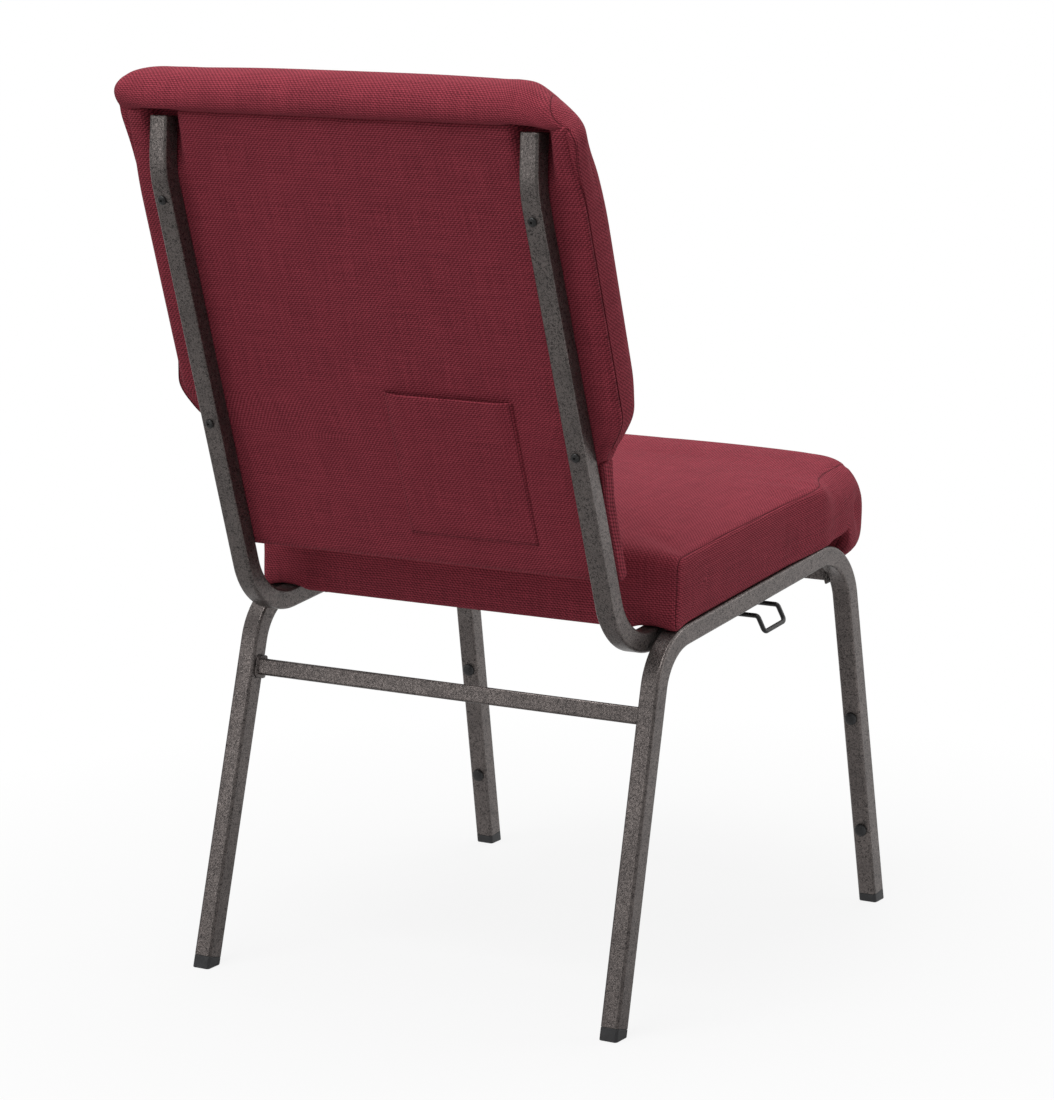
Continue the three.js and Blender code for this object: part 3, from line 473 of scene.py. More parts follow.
for word, sign in SIDES:
    foot_glide(f"rear_{word}_glide", rear_foot, rear_up, sign, [f"rear_{word}_foot_glide"])
    foot_glide(f"front_{word}_glide", front_foot, front_up, sign, [f"front_{word}_foot_glide"])
    leg_rear = side(front_up.z, -front_up.y)
    for level, z in (("lower", 77), ("upper", 193)):
        bm = bmesh.new()
        turned(bm, [(0, -1), (6.1, -1), (6.3, 0.2), (6.3, 1.3), (5.9, 2.4), (4.9, 3.6), (3.4, 4.4),
                    (1.8, 4.75), (0, 4.8)])
        place = front_foot + side(front_slope * z, z) + leg_rear * (TUBE / 2 + 0.1)
        move(bm, Matrix.Translation(place) @ facing(leg_rear))
        set_out(bm, sign, LEG_X, LEG_LEAN)
        finish_piece(bm, f"{word}_{level}_button", black_rubber, replaces=[f"{word}_{level}_bumper"])

# %% [markdown]
# ## Ganging wires
# The hook and the loop are 4.5 mm spring wire in a satin black coat. Each is one bent wire: two legs that
# slide in a bracket under the seat, joined outside the rail. The hook's outer end drops, so that it
# catches the loop of the next chair. A round face is swept along the same corners as before.

# %% Black steel
black_steel, tree, shader = new_finish("black_steel", Metallic=0.2, Roughness=0.38)
scuffs = ramp(tree, object_noise(tree, 260, 4, 0.65), 0.56, 0.74)
feed(tree, shader, Base_Color=mix_colour(tree, scuffs, linear(30, 29, 29), linear(66, 65, 63)),
     Roughness=ramp(tree, object_noise(tree, 90, 2), 0.3, 0.7, 0.3, 0.46),
     Normal=bump(tree, object_noise(tree, 1100, 2), 0.00008, 0.6))
print("finish:", black_steel.name)

# %% Hook and loop
WIRE = 2.25
BRACKET = 108
rail_top_middle = side(0, RAIL_Z) + rail_up * TUBE / 2
rail_top_middle -= rail_forward * (rail_top_middle.y / rail_forward.y)
wire_base = rail_top_middle + rail_forward * (-29 / rail_forward.y)


def gang_point(sign, across, ahead, down):
    point = wire_base + rail_forward * ahead - rail_up * down
    return Vector((sign * across, point.y, point.z))


def ganging_wire(name, sign, reach, half_gap, down, drop, slant, body, node):
    """reach and half_gap give the wire's plan, and drop and slant how its outer end turns down."""
    def one_leg(turn):
        points = [gang_point(sign, BRACKET, turn * (half_gap - 8), down),
                  gang_point(sign, BRACKET, turn * half_gap, down),
                  gang_point(sign, reach, turn * half_gap, down)]
        return points + ([gang_point(sign, reach + slant, turn * half_gap, down + drop)] if drop else [])

    corners = one_leg(-1) + one_leg(1)[::-1]
    bm = bmesh.new()
    bmesh.ops.create_circle(bm, cap_ends=True, segments=20, radius=WIRE)
    sweep_face(bm, corners, [4] * (len(corners) - 2), 8)
    finish_piece(bm, name, black_steel, body=body, replaces=[node])


ganging_wire("ganging_hook_wire", RIGHT, 230.5, 19, 27.5, 15, 6.5, "hook", "ganging_hook")
ganging_wire("ganging_loop_wire", LEFT, 238.95, 25, 32.6, 0, 0, "loop", "ganging_loop")

# %% [markdown]
# ## Screws in the uprights
# Four black pan-head screws go through the uprights into the back. A head is turned from a line, and two
# crossed tapering bars are cut out of it for the driver.

# %% Back screws
def driver_recess():
    cutter = bmesh.new()
    for angle in (0, pi / 2):
        made = bmesh.ops.create_cube(cutter, size=1)["verts"]
        bmesh.ops.scale(cutter, vec=(4.6, 1.15, 4.0), verts=made)
        low = [v for v in made if v.co.z < 0]
        bmesh.ops.scale(cutter, vec=(0.35, 0.8, 1), verts=low)
        bmesh.ops.rotate(cutter, matrix=Matrix.Rotation(angle + 0.4, 3, "Z"), verts=made)
    bmesh.ops.translate(cutter, vec=(0, 0, 2.6), verts=cutter.verts)
    return into_object("recess", cutter)


def evaluated(piece):
    """The mesh of an object with its modifiers applied."""
    return piece.evaluated_get(bpy.context.evaluated_depsgraph_get()).to_mesh()


def take_back(piece):
    """Goes on with an object's finished mesh in a new bm, and drops the object."""
    bm = bmesh.new()
    bm.from_mesh(evaluated(piece))
    bpy.data.objects.remove(piece)
    return bm


def cut_out(bm, cutter):
    """Cuts another object's shape out of the mesh, and returns the rest."""
    blank = into_object("blank", bm)
    tool = blank.modifiers.new("cut", "BOOLEAN")
    tool.operation, tool.object, tool.solver, tool.use_self = "DIFFERENCE", cutter, "EXACT", True
    bm = take_back(blank)
    bpy.data.objects.remove(cutter)
    return bm


number = 0
for word, sign in SIDES:
    for z in (526.3, 739.0):
        number += 1
        bm = bmesh.new()
        turned(bm, [(0, -2), (4.3, -2), (4.4, 0.9), (4.1, 1.7), (3.3, 2.25), (2.0, 2.55), (0, 2.6)], 28)
        face_outward(bm)
        bm = cut_out(bm, driver_recess())
        place = upright_at(z) - back_forward * (TUBE / 2 + 0.15)
        move(bm, Matrix.Translation(place) @ facing(-back_forward))
        bmesh.ops.translate(bm, vec=(sign * upright_x(z), 0, 0), verts=bm.verts)
        finish_piece(bm, f"{word}_{'lower' if z < 600 else 'upper'}_back_screw", black_steel,
                     replaces=[f"back_screw_{number}"], flat_sides=True)

# %% [markdown]
# ## The cloth
# The cover is a flat-woven upholstery cloth in burgundy. Its threads are 1.95 mm apart, and each crosses
# over one and under the next, so the up-and-down cells line up as fine diagonals. The pattern is
# arithmetic on a UV map in millimetres, which every cover gets from its own cutting pattern. The colour
# carries painted light: a painted highlight on the raised threads and painted shade in the gaps between
# them. Slubs along the threads and a slow mottle make it less even, and painted shade darkens each seam.

# %% Burgundy cloth
THREAD = 1.95


def woven_finish(name, thread_colour, gap_shade_and_mottle_colour, thread_highlight_colour):
    material, tree, shader = new_finish(name, Roughness=0.85, Sheen_Weight=0.1, Sheen_Roughness=0.45,
                                        Sheen_Tint=linear(205, 110, 122), Specular_IOR_Level=0.12)
    weave = add_node(tree, "UVMap", uv_map="weave").outputs[0]
    wobble = add_node(tree, "TexNoise", {"Vector": weave, "Scale": 0.05, "Detail": 2.0}).outputs[1]
    bent = add_node(tree, "VectorMath", {0: wobble, 1: (0.5, 0.5, 0.5)}, operation="SUBTRACT").outputs[0]
    bent = add_node(tree, "VectorMath", {0: bent, 3: 2.2}, operation="SCALE").outputs[0]
    place = add_node(tree, "VectorMath", {0: weave, 1: bent}, operation="ADD").outputs[0]
    parts = add_node(tree, "SeparateXYZ", {0: place})
    across, along = (reckon(tree, "MULTIPLY", parts.outputs[i], 1 / THREAD) for i in (0, 1))
    waves = [reckon(tree, "SINE", reckon(tree, "MULTIPLY", v, pi)) for v in (across, along)]
    humps = [reckon(tree, "POWER", reckon(tree, "ABSOLUTE", w), 0.6) for w in waves]
    cell = reckon(tree, "MULTIPLY", *humps)
    over = ramp(tree, reckon(tree, "MULTIPLY", waves[0], waves[1]), -0.25, 0.25)
    twill = reckon(tree, "SINE", reckon(tree, "MULTIPLY", reckon(tree, "ADD", across, along), pi))
    ribs = reckon(tree, "COSINE", reckon(tree, "MULTIPLY", along, 2 * pi))
    slub_across = add_node(tree, "Mapping", {"Vector": weave, "Scale": (0.02, 0.6, 1)}).outputs[0]
    slub_along = add_node(tree, "Mapping", {"Vector": weave, "Scale": (0.6, 0.02, 1)}).outputs[0]
    slubs = [add_node(tree, "TexNoise", {"Vector": v, "Scale": 1.0, "Detail": 1.0}).outputs[0]
             for v in (slub_across, slub_along)]
    slub = add_node(tree, "Mix", {0: over, 2: slubs[0], 3: slubs[1]}).outputs[0]
    shade = reckon(tree, "MULTIPLY_ADD", twill, 0.26, reckon(tree, "MULTIPLY_ADD", over, 0.16, slub))
    shade = reckon(tree, "MULTIPLY_ADD", ribs, -0.24, shade)
    # Painted highlight: the raised threads, along the diagonals and rows, are painted lighter; the slubs
    # are the yarn's own tone
    colour = mix_colour(tree, ramp(tree, shade, 0.1, 1.06), thread_colour, thread_highlight_colour)
    # Painted shade: the gaps between the threads are painted darker
    colour = mix_colour(tree, ramp(tree, cell, 0.05, 0.5, 0.6, 0.0), colour, gap_shade_and_mottle_colour)
    mottle = object_noise(tree, 26, 3, 0.6)
    colour = mix_colour(tree, ramp(tree, mottle, 0.35, 0.65, 0.0, 0.08), colour, gap_shade_and_mottle_colour)
    # Painted shade: the cloth is darkened along each seam and stitch line, where it dips into a crease
    seam = add_node(tree, "Attribute", attribute_name="seam").outputs["Fac"]
    line = ramp(tree, seam, 0.2, 1.0, 0.62, 0.0)
    colour = mix_colour(tree, line, colour, tuple(c * 0.35 for c in gap_shade_and_mottle_colour[:3]) + (1,))
    height = reckon(tree, "MULTIPLY_ADD", twill, 0.2, cell)
    feed(tree, shader, Base_Color=colour, Normal=bump(tree, height, 0.00034, 0.8))
    return material


burgundy_cloth = woven_finish("burgundy_cloth", linear(92, 31, 41), linear(50, 14, 21), linear(165, 66, 79))
print("cloth:", burgundy_cloth.name, "threads every", THREAD, "mm")

# %% [markdown]
# ## Cushions as rings
# An upholsterer sews a cushion's cover from a long band that goes over the top, the front and the bottom,
# and a panel on each side. Here too: the side view is one closed outline, and rings of that shape stand
# side by side across the chair. Near each end the rings are drawn in round the edge, and beyond it they
# close towards a line in the middle of the side panel. One ring of each end is the seam. The rings start
# as a flat grid, whose own two coordinates say how far round the outline and how far across each point
# is.

# %% Helpers for cushions
def smooth(value, low, high):
    t = min(1, max(0, (value - low) / (high - low)))
    return t * t * (3 - 2 * t)


def rounded_outline(corners, count):
    """A closed outline through corners (x, y, radius), as evenly spaced points."""
    line = []
    for before, here, after in zip(corners[-1:] + corners[:-1], corners, corners[1:] + corners[:1]):
        point, radius = Vector(here[:2]), here[2]
        to_before = (Vector(before[:2]) - point).normalized()
        to_after = (Vector(after[:2]) - point).normalized()
        turn = pi - to_before.angle(to_after)
        centre = point + (to_before + to_after).normalized() * radius / cos(turn / 2)
        arm = point + to_before * radius * tan(turn / 2) - centre
        turn *= 1 if (-to_before).cross(to_after) > 0 else -1
        steps = max(2, int(abs(turn) * radius))
        line += [centre + Matrix.Rotation(turn * k / steps, 2) @ arm for k in range(steps + 1)]
    line.append(line[0])
    lengths = [0]
    for a, b in zip(line, line[1:]):
        lengths.append(lengths[-1] + (b - a).length)
    points, k = [], 0
    for i in range(count):
        wanted = lengths[-1] * i / count
        while lengths[k + 1] <= wanted:
            k += 1
        points.append(line[k].lerp(line[k + 1], (wanted - lengths[k]) / (lengths[k + 1] - lengths[k])))
    return points, lengths[-1]


def near_line(point, a, b):
    """The nearest point of the line from a to b."""
    t = (point - a).dot(b - a) / (b - a).length_squared
    return a.lerp(b, min(1, max(0, t)))


def evened(values, reach=3):
    """A running mean round a closed list."""
    count, near = len(values), range(-reach, reach + 1)
    return [sum(values[(i + k) % count] for k in near) / (2 * reach + 1) for i in range(count)]


def sign_of(value):
    return (value > 0) - (value < 0)


def new_grid(across, along, size=0.5):
    bm = bmesh.new()
    bmesh.ops.create_grid(bm, x_segments=across, y_segments=along, size=size)
    return bm


# How many rings lie from the middle to where the edge starts to curve, in the curve, and on the end
FLAT, ARC, END = 34, 6, 8


def cushion_rings(outline, length, core, half_width, edge_curve, seam_angle, place, soften=(3, 10)):
    """The cover of a cushion. half_width, edge_curve and seam_angle take a point of the outline. The edge
    curve is a quarter of an ellipse: how far it runs across, and how far it draws the outline in."""
    count = len(outline)
    runs, depths = (evened([edge_curve(*p)[k] for p in outline]) for k in (0, 1))
    angles = evened([radians(seam_angle(*p)) for p in outline])
    rings = FLAT + ARC + END
    bm = new_grid(count, 2 * rings)
    weave = bm.loops.layers.uv.new("weave")
    seam = bm.verts.layers.float.new("seam")
    ring_number = bm.verts.layers.int.new("ring_number")
    spots = {}
    for v in bm.verts:
        i, j = round((v.co.x + 0.5) * count), round(v.co.y * 2 * rings)
        step, sign = abs(j), sign_of(j)
        v[ring_number] = step
        p, run, depth, angle = (values[i % count] for values in (outline, runs, depths, angles))
        half = half_width(*p)
        middle = near_line(p, *core)
        inward, reach = (middle - p).normalized(), (middle - p).length
        round_length = (run + depth) * 0.785
        if step <= FLAT:
            x, turn, inset = (half - run) * step / FLAT, 0, 0
        elif step <= FLAT + ARC:
            k = (step - FLAT) / ARC * 2
            turn = angle * k if k <= 1 else angle + (pi / 2 - angle) * (k - 1)
            x, inset = half - run + run * sin(turn), depth * (1 - cos(turn))
        else:
            k = (step - FLAT - ARC) / END
            turn, x, inset = pi / 2, half, depth + (reach * 0.985 - depth) * k
        over = x if step <= FLAT else half - run + round_length * turn / (pi / 2)
        if step < FLAT + ARC / 2:
            v[seam] = half - run + round_length * angle / (pi / 2) - over
        else:
            v[seam] = round_length * (turn - angle) / (pi / 2) + max(0, inset - depth)
        v.co = place(sign * x, *(p + inward * inset), inset)
        curved = depth - round_length * (1 - turn / (pi / 2))
        spots[v] = (i, step, sign * over, p + inward * (inset if step > FLAT + ARC else curved))
    for face in bm.faces:
        corners = [spots[loop.vert] for loop in face.loops]
        on_end = sum(c[1] for c in corners) / 4 > FLAT + ARC / 2
        for loop, (i, step, over, unrolled) in zip(face.loops, corners):
            loop[weave].uv = unrolled if on_end else (over, length * i / count)
    bmesh.ops.remove_doubles(bm, verts=bm.verts, dist=1e-3)
    caps = bmesh.ops.holes_fill(bm, edges=[e for e in bm.edges if e.is_boundary])["faces"]
    bmesh.ops.triangulate(bm, faces=caps)
    for first, rounds in ((FLAT - 4, soften[0]), (FLAT + ARC, soften[1])):
        near_end = [v for v in bm.verts if v[ring_number] > first]
        for _ in range(rounds):
            bmesh.ops.smooth_vert(bm, verts=near_end, factor=0.5, use_axis_x=True, use_axis_y=True,
                                  use_axis_z=True)
    face_outward(bm)
    return bm


def lay_cloth(bm, weave_at, seam_at):
    """Gives each point its place in the weave, and its distance from a seam, in millimetres."""
    weave = bm.loops.layers.uv.new("weave")
    seam = bm.verts.layers.float.new("seam")
    for face in bm.faces:
        for loop in face.loops:
            loop[weave].uv = weave_at(loop.vert.co)
    for v in bm.verts:
        v[seam] = seam_at(v.co)


print("cushion helpers ready")

# %% [markdown]
# ## Filling a cover
# A cover is cut a little small, and the foam fills it out: it swells between the seams and stays low
# along them. Cloth with air pressure inside does the same. The points on the seams are held, the swelling
# is capped, and the result goes into the mesh. After one subdivision the cover is pulled in by up to a
# millimetre along each seam.

# %% Helper that fills a cover
FRAMES = 20


def fill_cover(bm, name, pressure, cap, give, tuck=0.9, tuck_width=1.6):
    """Swells the cover, in millimetres as drawn, and returns it as a finer mesh.
    give takes a point and says what share of the cap it may move; where it says 0, the point is held."""
    seam = bm.verts.layers.float["seam"]
    bm.verts.index_update()
    caps = [cap * (smooth(v[seam], 0.5, 14) and give(*v.co)) for v in bm.verts]
    bmesh.ops.scale(bm, vec=(MM, MM, MM), verts=bm.verts)
    held = [i for i, limit in enumerate(caps) if limit == 0]
    blank = into_object(name + "_blank", bm)
    blank.vertex_groups.new(name="held").add(held, 1.0, "REPLACE")
    largest = 0
    cloth = blank.modifiers.new("cloth", "CLOTH")
    cloth.settings.use_pressure = True
    cloth.settings.uniform_pressure_force = pressure
    cloth.settings.effector_weights.gravity = 0
    cloth.settings.vertex_group_mass = "held"
    cloth.settings.quality = 4
    cloth.point_cache.frame_start, cloth.point_cache.frame_end = 1, FRAMES
    for frame_number in range(1, FRAMES + 1):
        bpy.context.scene.frame_set(frame_number)
    places = [v.co.copy() for v in evaluated(blank).vertices]
    blank.modifiers.remove(cloth)
    bpy.context.scene.frame_set(1)
    for v, there, limit in zip(blank.data.vertices, places, caps):
        swell = there - v.co
        largest = max(largest, swell.length)
        v.co += swell.normalized() * limit * MM * (1 - exp(-swell.length / (cap * MM)))
    finer = blank.modifiers.new("finer", "SUBSURF")
    finer.levels = finer.render_levels = 1
    bm = take_back(blank)
    bmesh.ops.scale(bm, vec=(1 / MM, 1 / MM, 1 / MM), verts=bm.verts)
    seam = bm.verts.layers.float["seam"]
    bm.normal_update()
    for v in bm.verts:
        if v[seam] < 12:
            v.co -= v.normal * tuck * exp(-(v[seam] / tuck_width) ** 2)
    print(f"{name}: {len(held)} points held, largest swelling {largest / MM:.1f} mm, capped at {cap} mm")
    return bm


# %% [markdown]
# ## The seat cushion
# Thick foam on a plywood board, flat at the sides and rear, with a big roll over the front edge. The seam
# between the top and each side runs along the upper edge. At the roll it turns inwards and goes over the
# top of it, so the side panel covers the end of the roll. The top is crowned.

# %% Seat outline and shape
def seat_place(across, ahead, height):
    point = rail_top_middle + rail_forward * ahead + rail_up * height
    return Vector((across, point.y, point.z))


SEAT_CORNERS = [(200, 0.6, 2), (202.5, -37, 13), (274.5, -37, 46), (274.5, 58, 44), (185, 64.5, 160),
                (-40, 68.5, 300), (-127.5, 67.5, 13), (-135.5, 0.6, 4)]
seat_line, seat_girth = rounded_outline(SEAT_CORNERS, 210)


def seat_half_width(ahead, height):
    """Swells a little up to the ridge where the side turns in, then narrows evenly round the roll."""
    foot = 2 * (1 - smooth(height, -5, 50)) * (1 - smooth(ahead, 150, 205))
    past = ahead - 153
    return 230 + 4.5 * smooth(ahead, 70, 146) - 0.083 * (past + sqrt(past * past + 60)) - foot


def seat_edge_curve(ahead, height):
    if ahead < 199.5:
        above, rolled = smooth(height, 2, 25), smooth(ahead, 116, 205)
        return 3 + above * (6 + 33 * rolled), 3 + above * (6 + 21 * rolled)
    below = smooth(hypot(ahead - 200, height - 0.6), 0, 20)
    nose = 1 - 0.24 * exp(-((height - 14) / 24) ** 2)
    return 3 + 39 * below * nose, 3 + 27 * below * nose * (1 - 0.3 * smooth(height, 0, -30))


def seat_seam_angle(ahead, height):
    return 58 - 34 * smooth(ahead, 114, 165) + 6 * smooth(ahead, 180, 215)


def seat_shape(across, ahead, height, inset):
    side_share = min(1, abs(across) / 225)
    rise = max(0, 1 - side_share ** 2.6) ** 0.85
    lift = 9.5 * rise * exp(-((ahead - 5) / 145) ** 2) * smooth(height, 20, 60)
    out = Vector((ahead, height)) - Vector((223.8, 11.2))
    rolled = smooth(ahead, 165, 215) * smooth(height, -40, -10)
    push = out.normalized() * 6.0 * rise * rolled
    # The side panel stands a little proud of its edges
    proud = 0.8 * smooth(inset, 6, 36) * (1 - smooth(ahead, 150, 200))
    fold = 1.5 * exp(-((ahead - 147) / 8) ** 2) - 2.4 * exp(-((ahead - 169) / 12) ** 2)
    proud += fold * smooth(height, -8, 8) * smooth(side_share, 0.9, 1)
    across += sign_of(across) * proud
    # At the rear the foam hangs a little below the board, except where the uprights run under it
    between = smooth(abs(across), 178, 189) * (1 - smooth(abs(across), 211, 218))
    hang = 4.2 * (1 - between) * (1 - smooth(ahead, -133, -110)) * (1 - smooth(height, 0, 28))
    return seat_place(across, ahead + push.x, height + push.y + lift - hang)


def seat_give(x, y, z):
    """The bottom rests on the board and the rail, and the roll keeps its round shape."""
    height = (z - rail_z(y)) * rail_up.z - TUBE / 2
    return smooth(height, 1.5, 14) * (1 - 0.75 * smooth(-y, 150, 215))


bm = cushion_rings(seat_line, seat_girth, (Vector((-78, 34)), Vector((222, 13))), seat_half_width,
                   seat_edge_curve, seat_seam_angle, seat_shape)
bm = fill_cover(bm, "seat", 3.0, 4.0, seat_give)
seat = finish_piece(bm, "seat_cushion_cover", burgundy_cloth, replaces=["seat_cushion"])

# %% [markdown]
# ## The back cushion
# Seen from the side the cushion tapers to a thin panel at its lower end, is about 53 mm thick above, and
# ends in a roll at the top. The rear of the cushion lies ahead of the outer back, whose edge the side
# cover wraps round.

# %% Back cushion
BACK_Z = 400
OUTER_TOP = 434.6
back_foot = upright_at(BACK_Z) + back_forward * TUBE / 2
back_foot -= back_up * ((back_foot.z - BACK_Z) / back_up.z)


def back_place(across, height, ahead):
    point = back_foot + back_up * height + back_forward * ahead
    return Vector((across, point.y, point.z))


def back_half_width(height, ahead=0):
    """Narrow below, and a little flared above."""
    half = 214 + 23 * smooth(height, 116, 166)
    narrower = 5 * smooth(height, 335, 445) + 3.5 * smooth(height, 375, 420)
    narrower *= 1 - 0.6 * smooth(height, 440, 466)
    return half + 5 * smooth(height, 392, 440) - narrower * smooth(ahead, -5, 45)


def rear_edge(height):
    """Where the outer back ends at each side: near the corner below, further in towards the roll."""
    return min(236.5, back_half_width(height) - 0.8) - 5 * smooth(height, 345, 436)


def rear_plane(height):
    """How far the rear of the cushion lies ahead of the uprights' front line."""
    return 5.5 - 4.6 * smooth(height, 375, 425)


def pressed_in(x, height):
    """How deep the bent top of an upright is pressed into the back."""
    beside = abs(abs(x) - upright_x(BACK_Z + height)) - TUBE / 2
    depth = max(0.0, (height - 374) * tan(radians(TOP_BEND))) + 0.7 * smooth(height, 350, 374)
    ends = 1 - smooth(height, 437, 450)
    return depth * ends * (exp(-(beside / 7) ** 2) if beside > 0 else 1)


BACK_CORNERS = [(118, 0.4, 0.8), (118, 18.5, 4), (184, 52, 50), (330, 54, 500), (466.5, 52, 28),
                (466.5, -3.8, 26), (436.6, -3.8, 3), (434.8, 0.4, 0.8)]
back_line, back_girth = rounded_outline(BACK_CORNERS, 220)


def back_edge_curve(height, ahead):
    over_top = smooth(height, 432, 462)
    front = smooth(ahead, 6, 40) * smooth(height, 120, 185)
    upper = smooth(height, 350, 455) * smooth(ahead, 14, 48)
    over_top *= 0.45 + 0.4 * smooth(ahead, 0, 24)
    run = max(26 * front + 18 * upper, 26 * over_top + 18 * upper)
    return 3.5 + run, 3.5 + max(24 * front, 18 * over_top)


def back_seam_angle(height, ahead):
    return 60 - 20 * smooth(height, 425, 438) - 6 * smooth(height, 450, 465)


def back_shape(across, height, ahead, inset):
    side = abs(across)
    rise = 1 - min(1, side / 237) ** 2.4
    crown = 10 * rise * smooth(ahead, 24, 50) * smooth(height, 118, 210) * (1 - smooth(height, 425, 465))
    droop = 1.8 * min(1, (side / 160) ** 2) * smooth(height, 430, 460) * smooth(side, 20, 160)
    # The rear lies ahead of the outer back, also where the uprights press in
    behind = 0
    if ahead < 12 and height < OUTER_TOP:
        level = max(rear_plane(height), pressed_in(across, height) + 3)
        lip = smooth(side, rear_edge(height) - 1, rear_edge(height) + 2) * smooth(height, 360, 400)
        behind = max(0, level - ahead) * (1 - lip) * (1 - smooth(ahead, 5.5, 12))
    # The lower corner stands further out on the left, where the cover was pulled less
    fuller = 9 * smooth(height, 108, 138) * (1 - smooth(height, 146, 200)) + 5 * smooth(height, 432, 456)
    proud = 1.0 * smooth(inset, 5, 20)
    # The end of the roll is rounder on the right, and on both sides its lip runs out into the side panel
    if across < 0:
        fuller = -19.5 * smooth(height, 416, 462)
        droop += (1.5 * smooth(side, 180, 202) + 7 * smooth(side, 204, 226)) * smooth(height, 415, 455)
    if height > OUTER_TOP:
        behind = 4.2 * smooth(side, 218, 234) * (1 - smooth(height, 437, 460)) * (1 - smooth(ahead, 4, 14))
    across += sign_of(across) * (proud + fuller * smooth(side, 150, 230))
    return back_place(across, height - droop, ahead + crown + behind)


def back_give(x, y, z):
    """The rear lies against the outer back, and the roll keeps its round shape."""
    away = (Vector((0, y, z)) - back_foot).dot(back_forward)
    height = (Vector((0, y, z)) - back_foot).dot(back_up)
    return smooth(away, 7, 14) * (1 - 0.8 * smooth(height, 395, 440)) * smooth(height, 119, 135)


bm = cushion_rings(back_line, back_girth, (Vector((133, 11)), Vector((440, 25))), back_half_width,
                   back_edge_curve, back_seam_angle, back_shape)
bm = fill_cover(bm, "back", 3.0, 4.0, back_give)
back = finish_piece(bm, "back_cushion_cover", burgundy_cloth, replaces=["back_cushion"])

# %% [markdown]
# ## The board inside the back
# A bent plywood board carries the foam and the screws. None of it shows, but its upper corners have to be
# as round as the roll's end. It is a flat grid laid on the board's own curve and given its thickness
# afterwards.

# %% Plywood
plywood, tree, shader = new_finish("plywood", Roughness=0.7)
grain = object_noise(tree, 9, 6, 0.65, 0.4, (14, 1, 14))
feed(tree, shader, Base_Color=mix_colour(tree, grain, linear(196, 156, 106), linear(150, 108, 66)),
     Normal=bump(tree, grain, 0.0003, 0.4))
print("finish:", plywood.name)

# %% Back board
BOARD, BOARD_CORNER = 9.6, 44


def board_place(a, b):
    """a runs across from -1 to 1, b up from 0 to 1."""
    height = 8 + 431.6 * b
    half = 199 + 31 * min(1, max(0, (height - 122.4) / 37))
    half -= BOARD_CORNER - sqrt(BOARD_CORNER ** 2 - max(0, height - 396) ** 2)
    return back_place(a * half, height, 5.2 + 24 * (max(0, height - 362) / 78) ** 2)


bm = new_grid(24, 96, 1)
for v in bm.verts:
    v.co = board_place(v.co.x, (v.co.y + 1) / 2)
face_outward(bm)
facing_rear = sum(f.normal.y for f in bm.faces) > 0
bmesh.ops.solidify(bm, geom=bm.faces[:], thickness=BOARD if facing_rear else -BOARD)
finish_piece(bm, "back_plywood", plywood, replaces=["back_board"], flat_sides=True)

# %% [markdown]
# ## The lower panel
# Below the cushion the back goes on as a thin padded panel, which leaves room for the sitter.

# %% Lower panel
PANEL_CORNERS = [(0.5, 5.8, 1.5), (0.5, 17.5, 5), (122, 18.6, 2), (122, 5.8, 1)]
panel_line, panel_girth = rounded_outline(PANEL_CORNERS, 70)


def panel_half_width(height, ahead=0):
    return 207 + 4 * smooth(height, 70, 116)


def panel_shape(across, height, ahead, inset):
    middle = 1 - min(1, abs(across) / 206) ** 4
    puff = 1.4 * middle * (ahead > 12) * smooth(height, 2, 20) * (1 - smooth(height, 100, 117))
    # Its side wraps round the edge of the outer back
    half = panel_half_width(height)
    wrap = 5.2 * smooth(abs(across), half - 6.5, half - 4) * (1 - smooth(ahead, 6.5, 14))
    return back_place(across, height, ahead + puff - wrap)


bm = cushion_rings(panel_line, panel_girth, (Vector((10, 11.6)), Vector((108, 11.6))), panel_half_width,
                   lambda h, n: (3.0 + 1.5 * (n > 10),) * 2, lambda h, n: 45, panel_shape, soften=(1, 3))
bm = fill_cover(bm, "lower panel", 2.0, 1.0, lambda x, y, z: 1, tuck=0.3)
panel = finish_piece(bm, "lower_back_panel", burgundy_cloth)

# %% [markdown]
# ## The outer back
# The rear of the back is one padded cloth panel, sewn to the cushion round its edge. The tops of the
# uprights are pressed into it, so it gives way round each of them.

# %% Outer back
def outer_shape(a, b, c):
    """Takes a point of the cube to the panel: a runs across, b from the rear face to the front, c up."""
    height = 1.6 + (434.2 - 1.6) * (c + 1) / 2
    half = rear_edge(height) if height > 120 else panel_half_width(height) - 4.6
    x = a * half
    edge = min((1 - abs(a)) * half, (1 - c) * 216, (1 + c) * 216)
    rear = 2.4 * exp(-edge / 1.8) - 0.9 * (1 - exp(-edge / 24)) + pressed_in(x, height)
    front = max(rear_plane(height) - 0.4, pressed_in(x, height) + 2.5)
    return back_place(x, height, min(rear, front - 0.5) if b < 0 else front)


bm = bmesh.new()
bmesh.ops.create_cube(bm, size=2)
for axis, cuts in ((0, 149), (2, 109)):
    lines = [e for e in bm.edges if abs((e.verts[0].co - e.verts[1].co).normalized()[axis]) > 0.9]
    bmesh.ops.subdivide_edges(bm, edges=lines, cuts=cuts, use_grid_fill=True)
lay_cloth(bm, lambda p: (p.x * 232, p.z * 216), lambda p: 0 if p.y < 0 and p.z > 0.999 else 20)
for v in bm.verts:
    v.co = outer_shape(*v.co)
outer = finish_piece(bm, "outer_back_cover", burgundy_cloth, replaces=["outer_back"])

# %% [markdown]
# ## Card pocket
# A patch of the same cloth, sewn on round three sides, with a hem at the mouth. It stands off the panel
# towards the top, so that a card slips in.

# %% Card pocket
POCKET_WIDTH, POCKET_HEIGHT, STITCH = 136, 140, 2.5


def pocket_bulge(u, v):
    """How far the patch stands off the panel, from its left edge (0) to its right (1) and bottom to top."""
    return 0.9 + (1.2 + 4.4 * smooth(v, 0, 0.95)) * min(1, sqrt(min(u, 1 - u) * 9)) * min(1, v * 14)


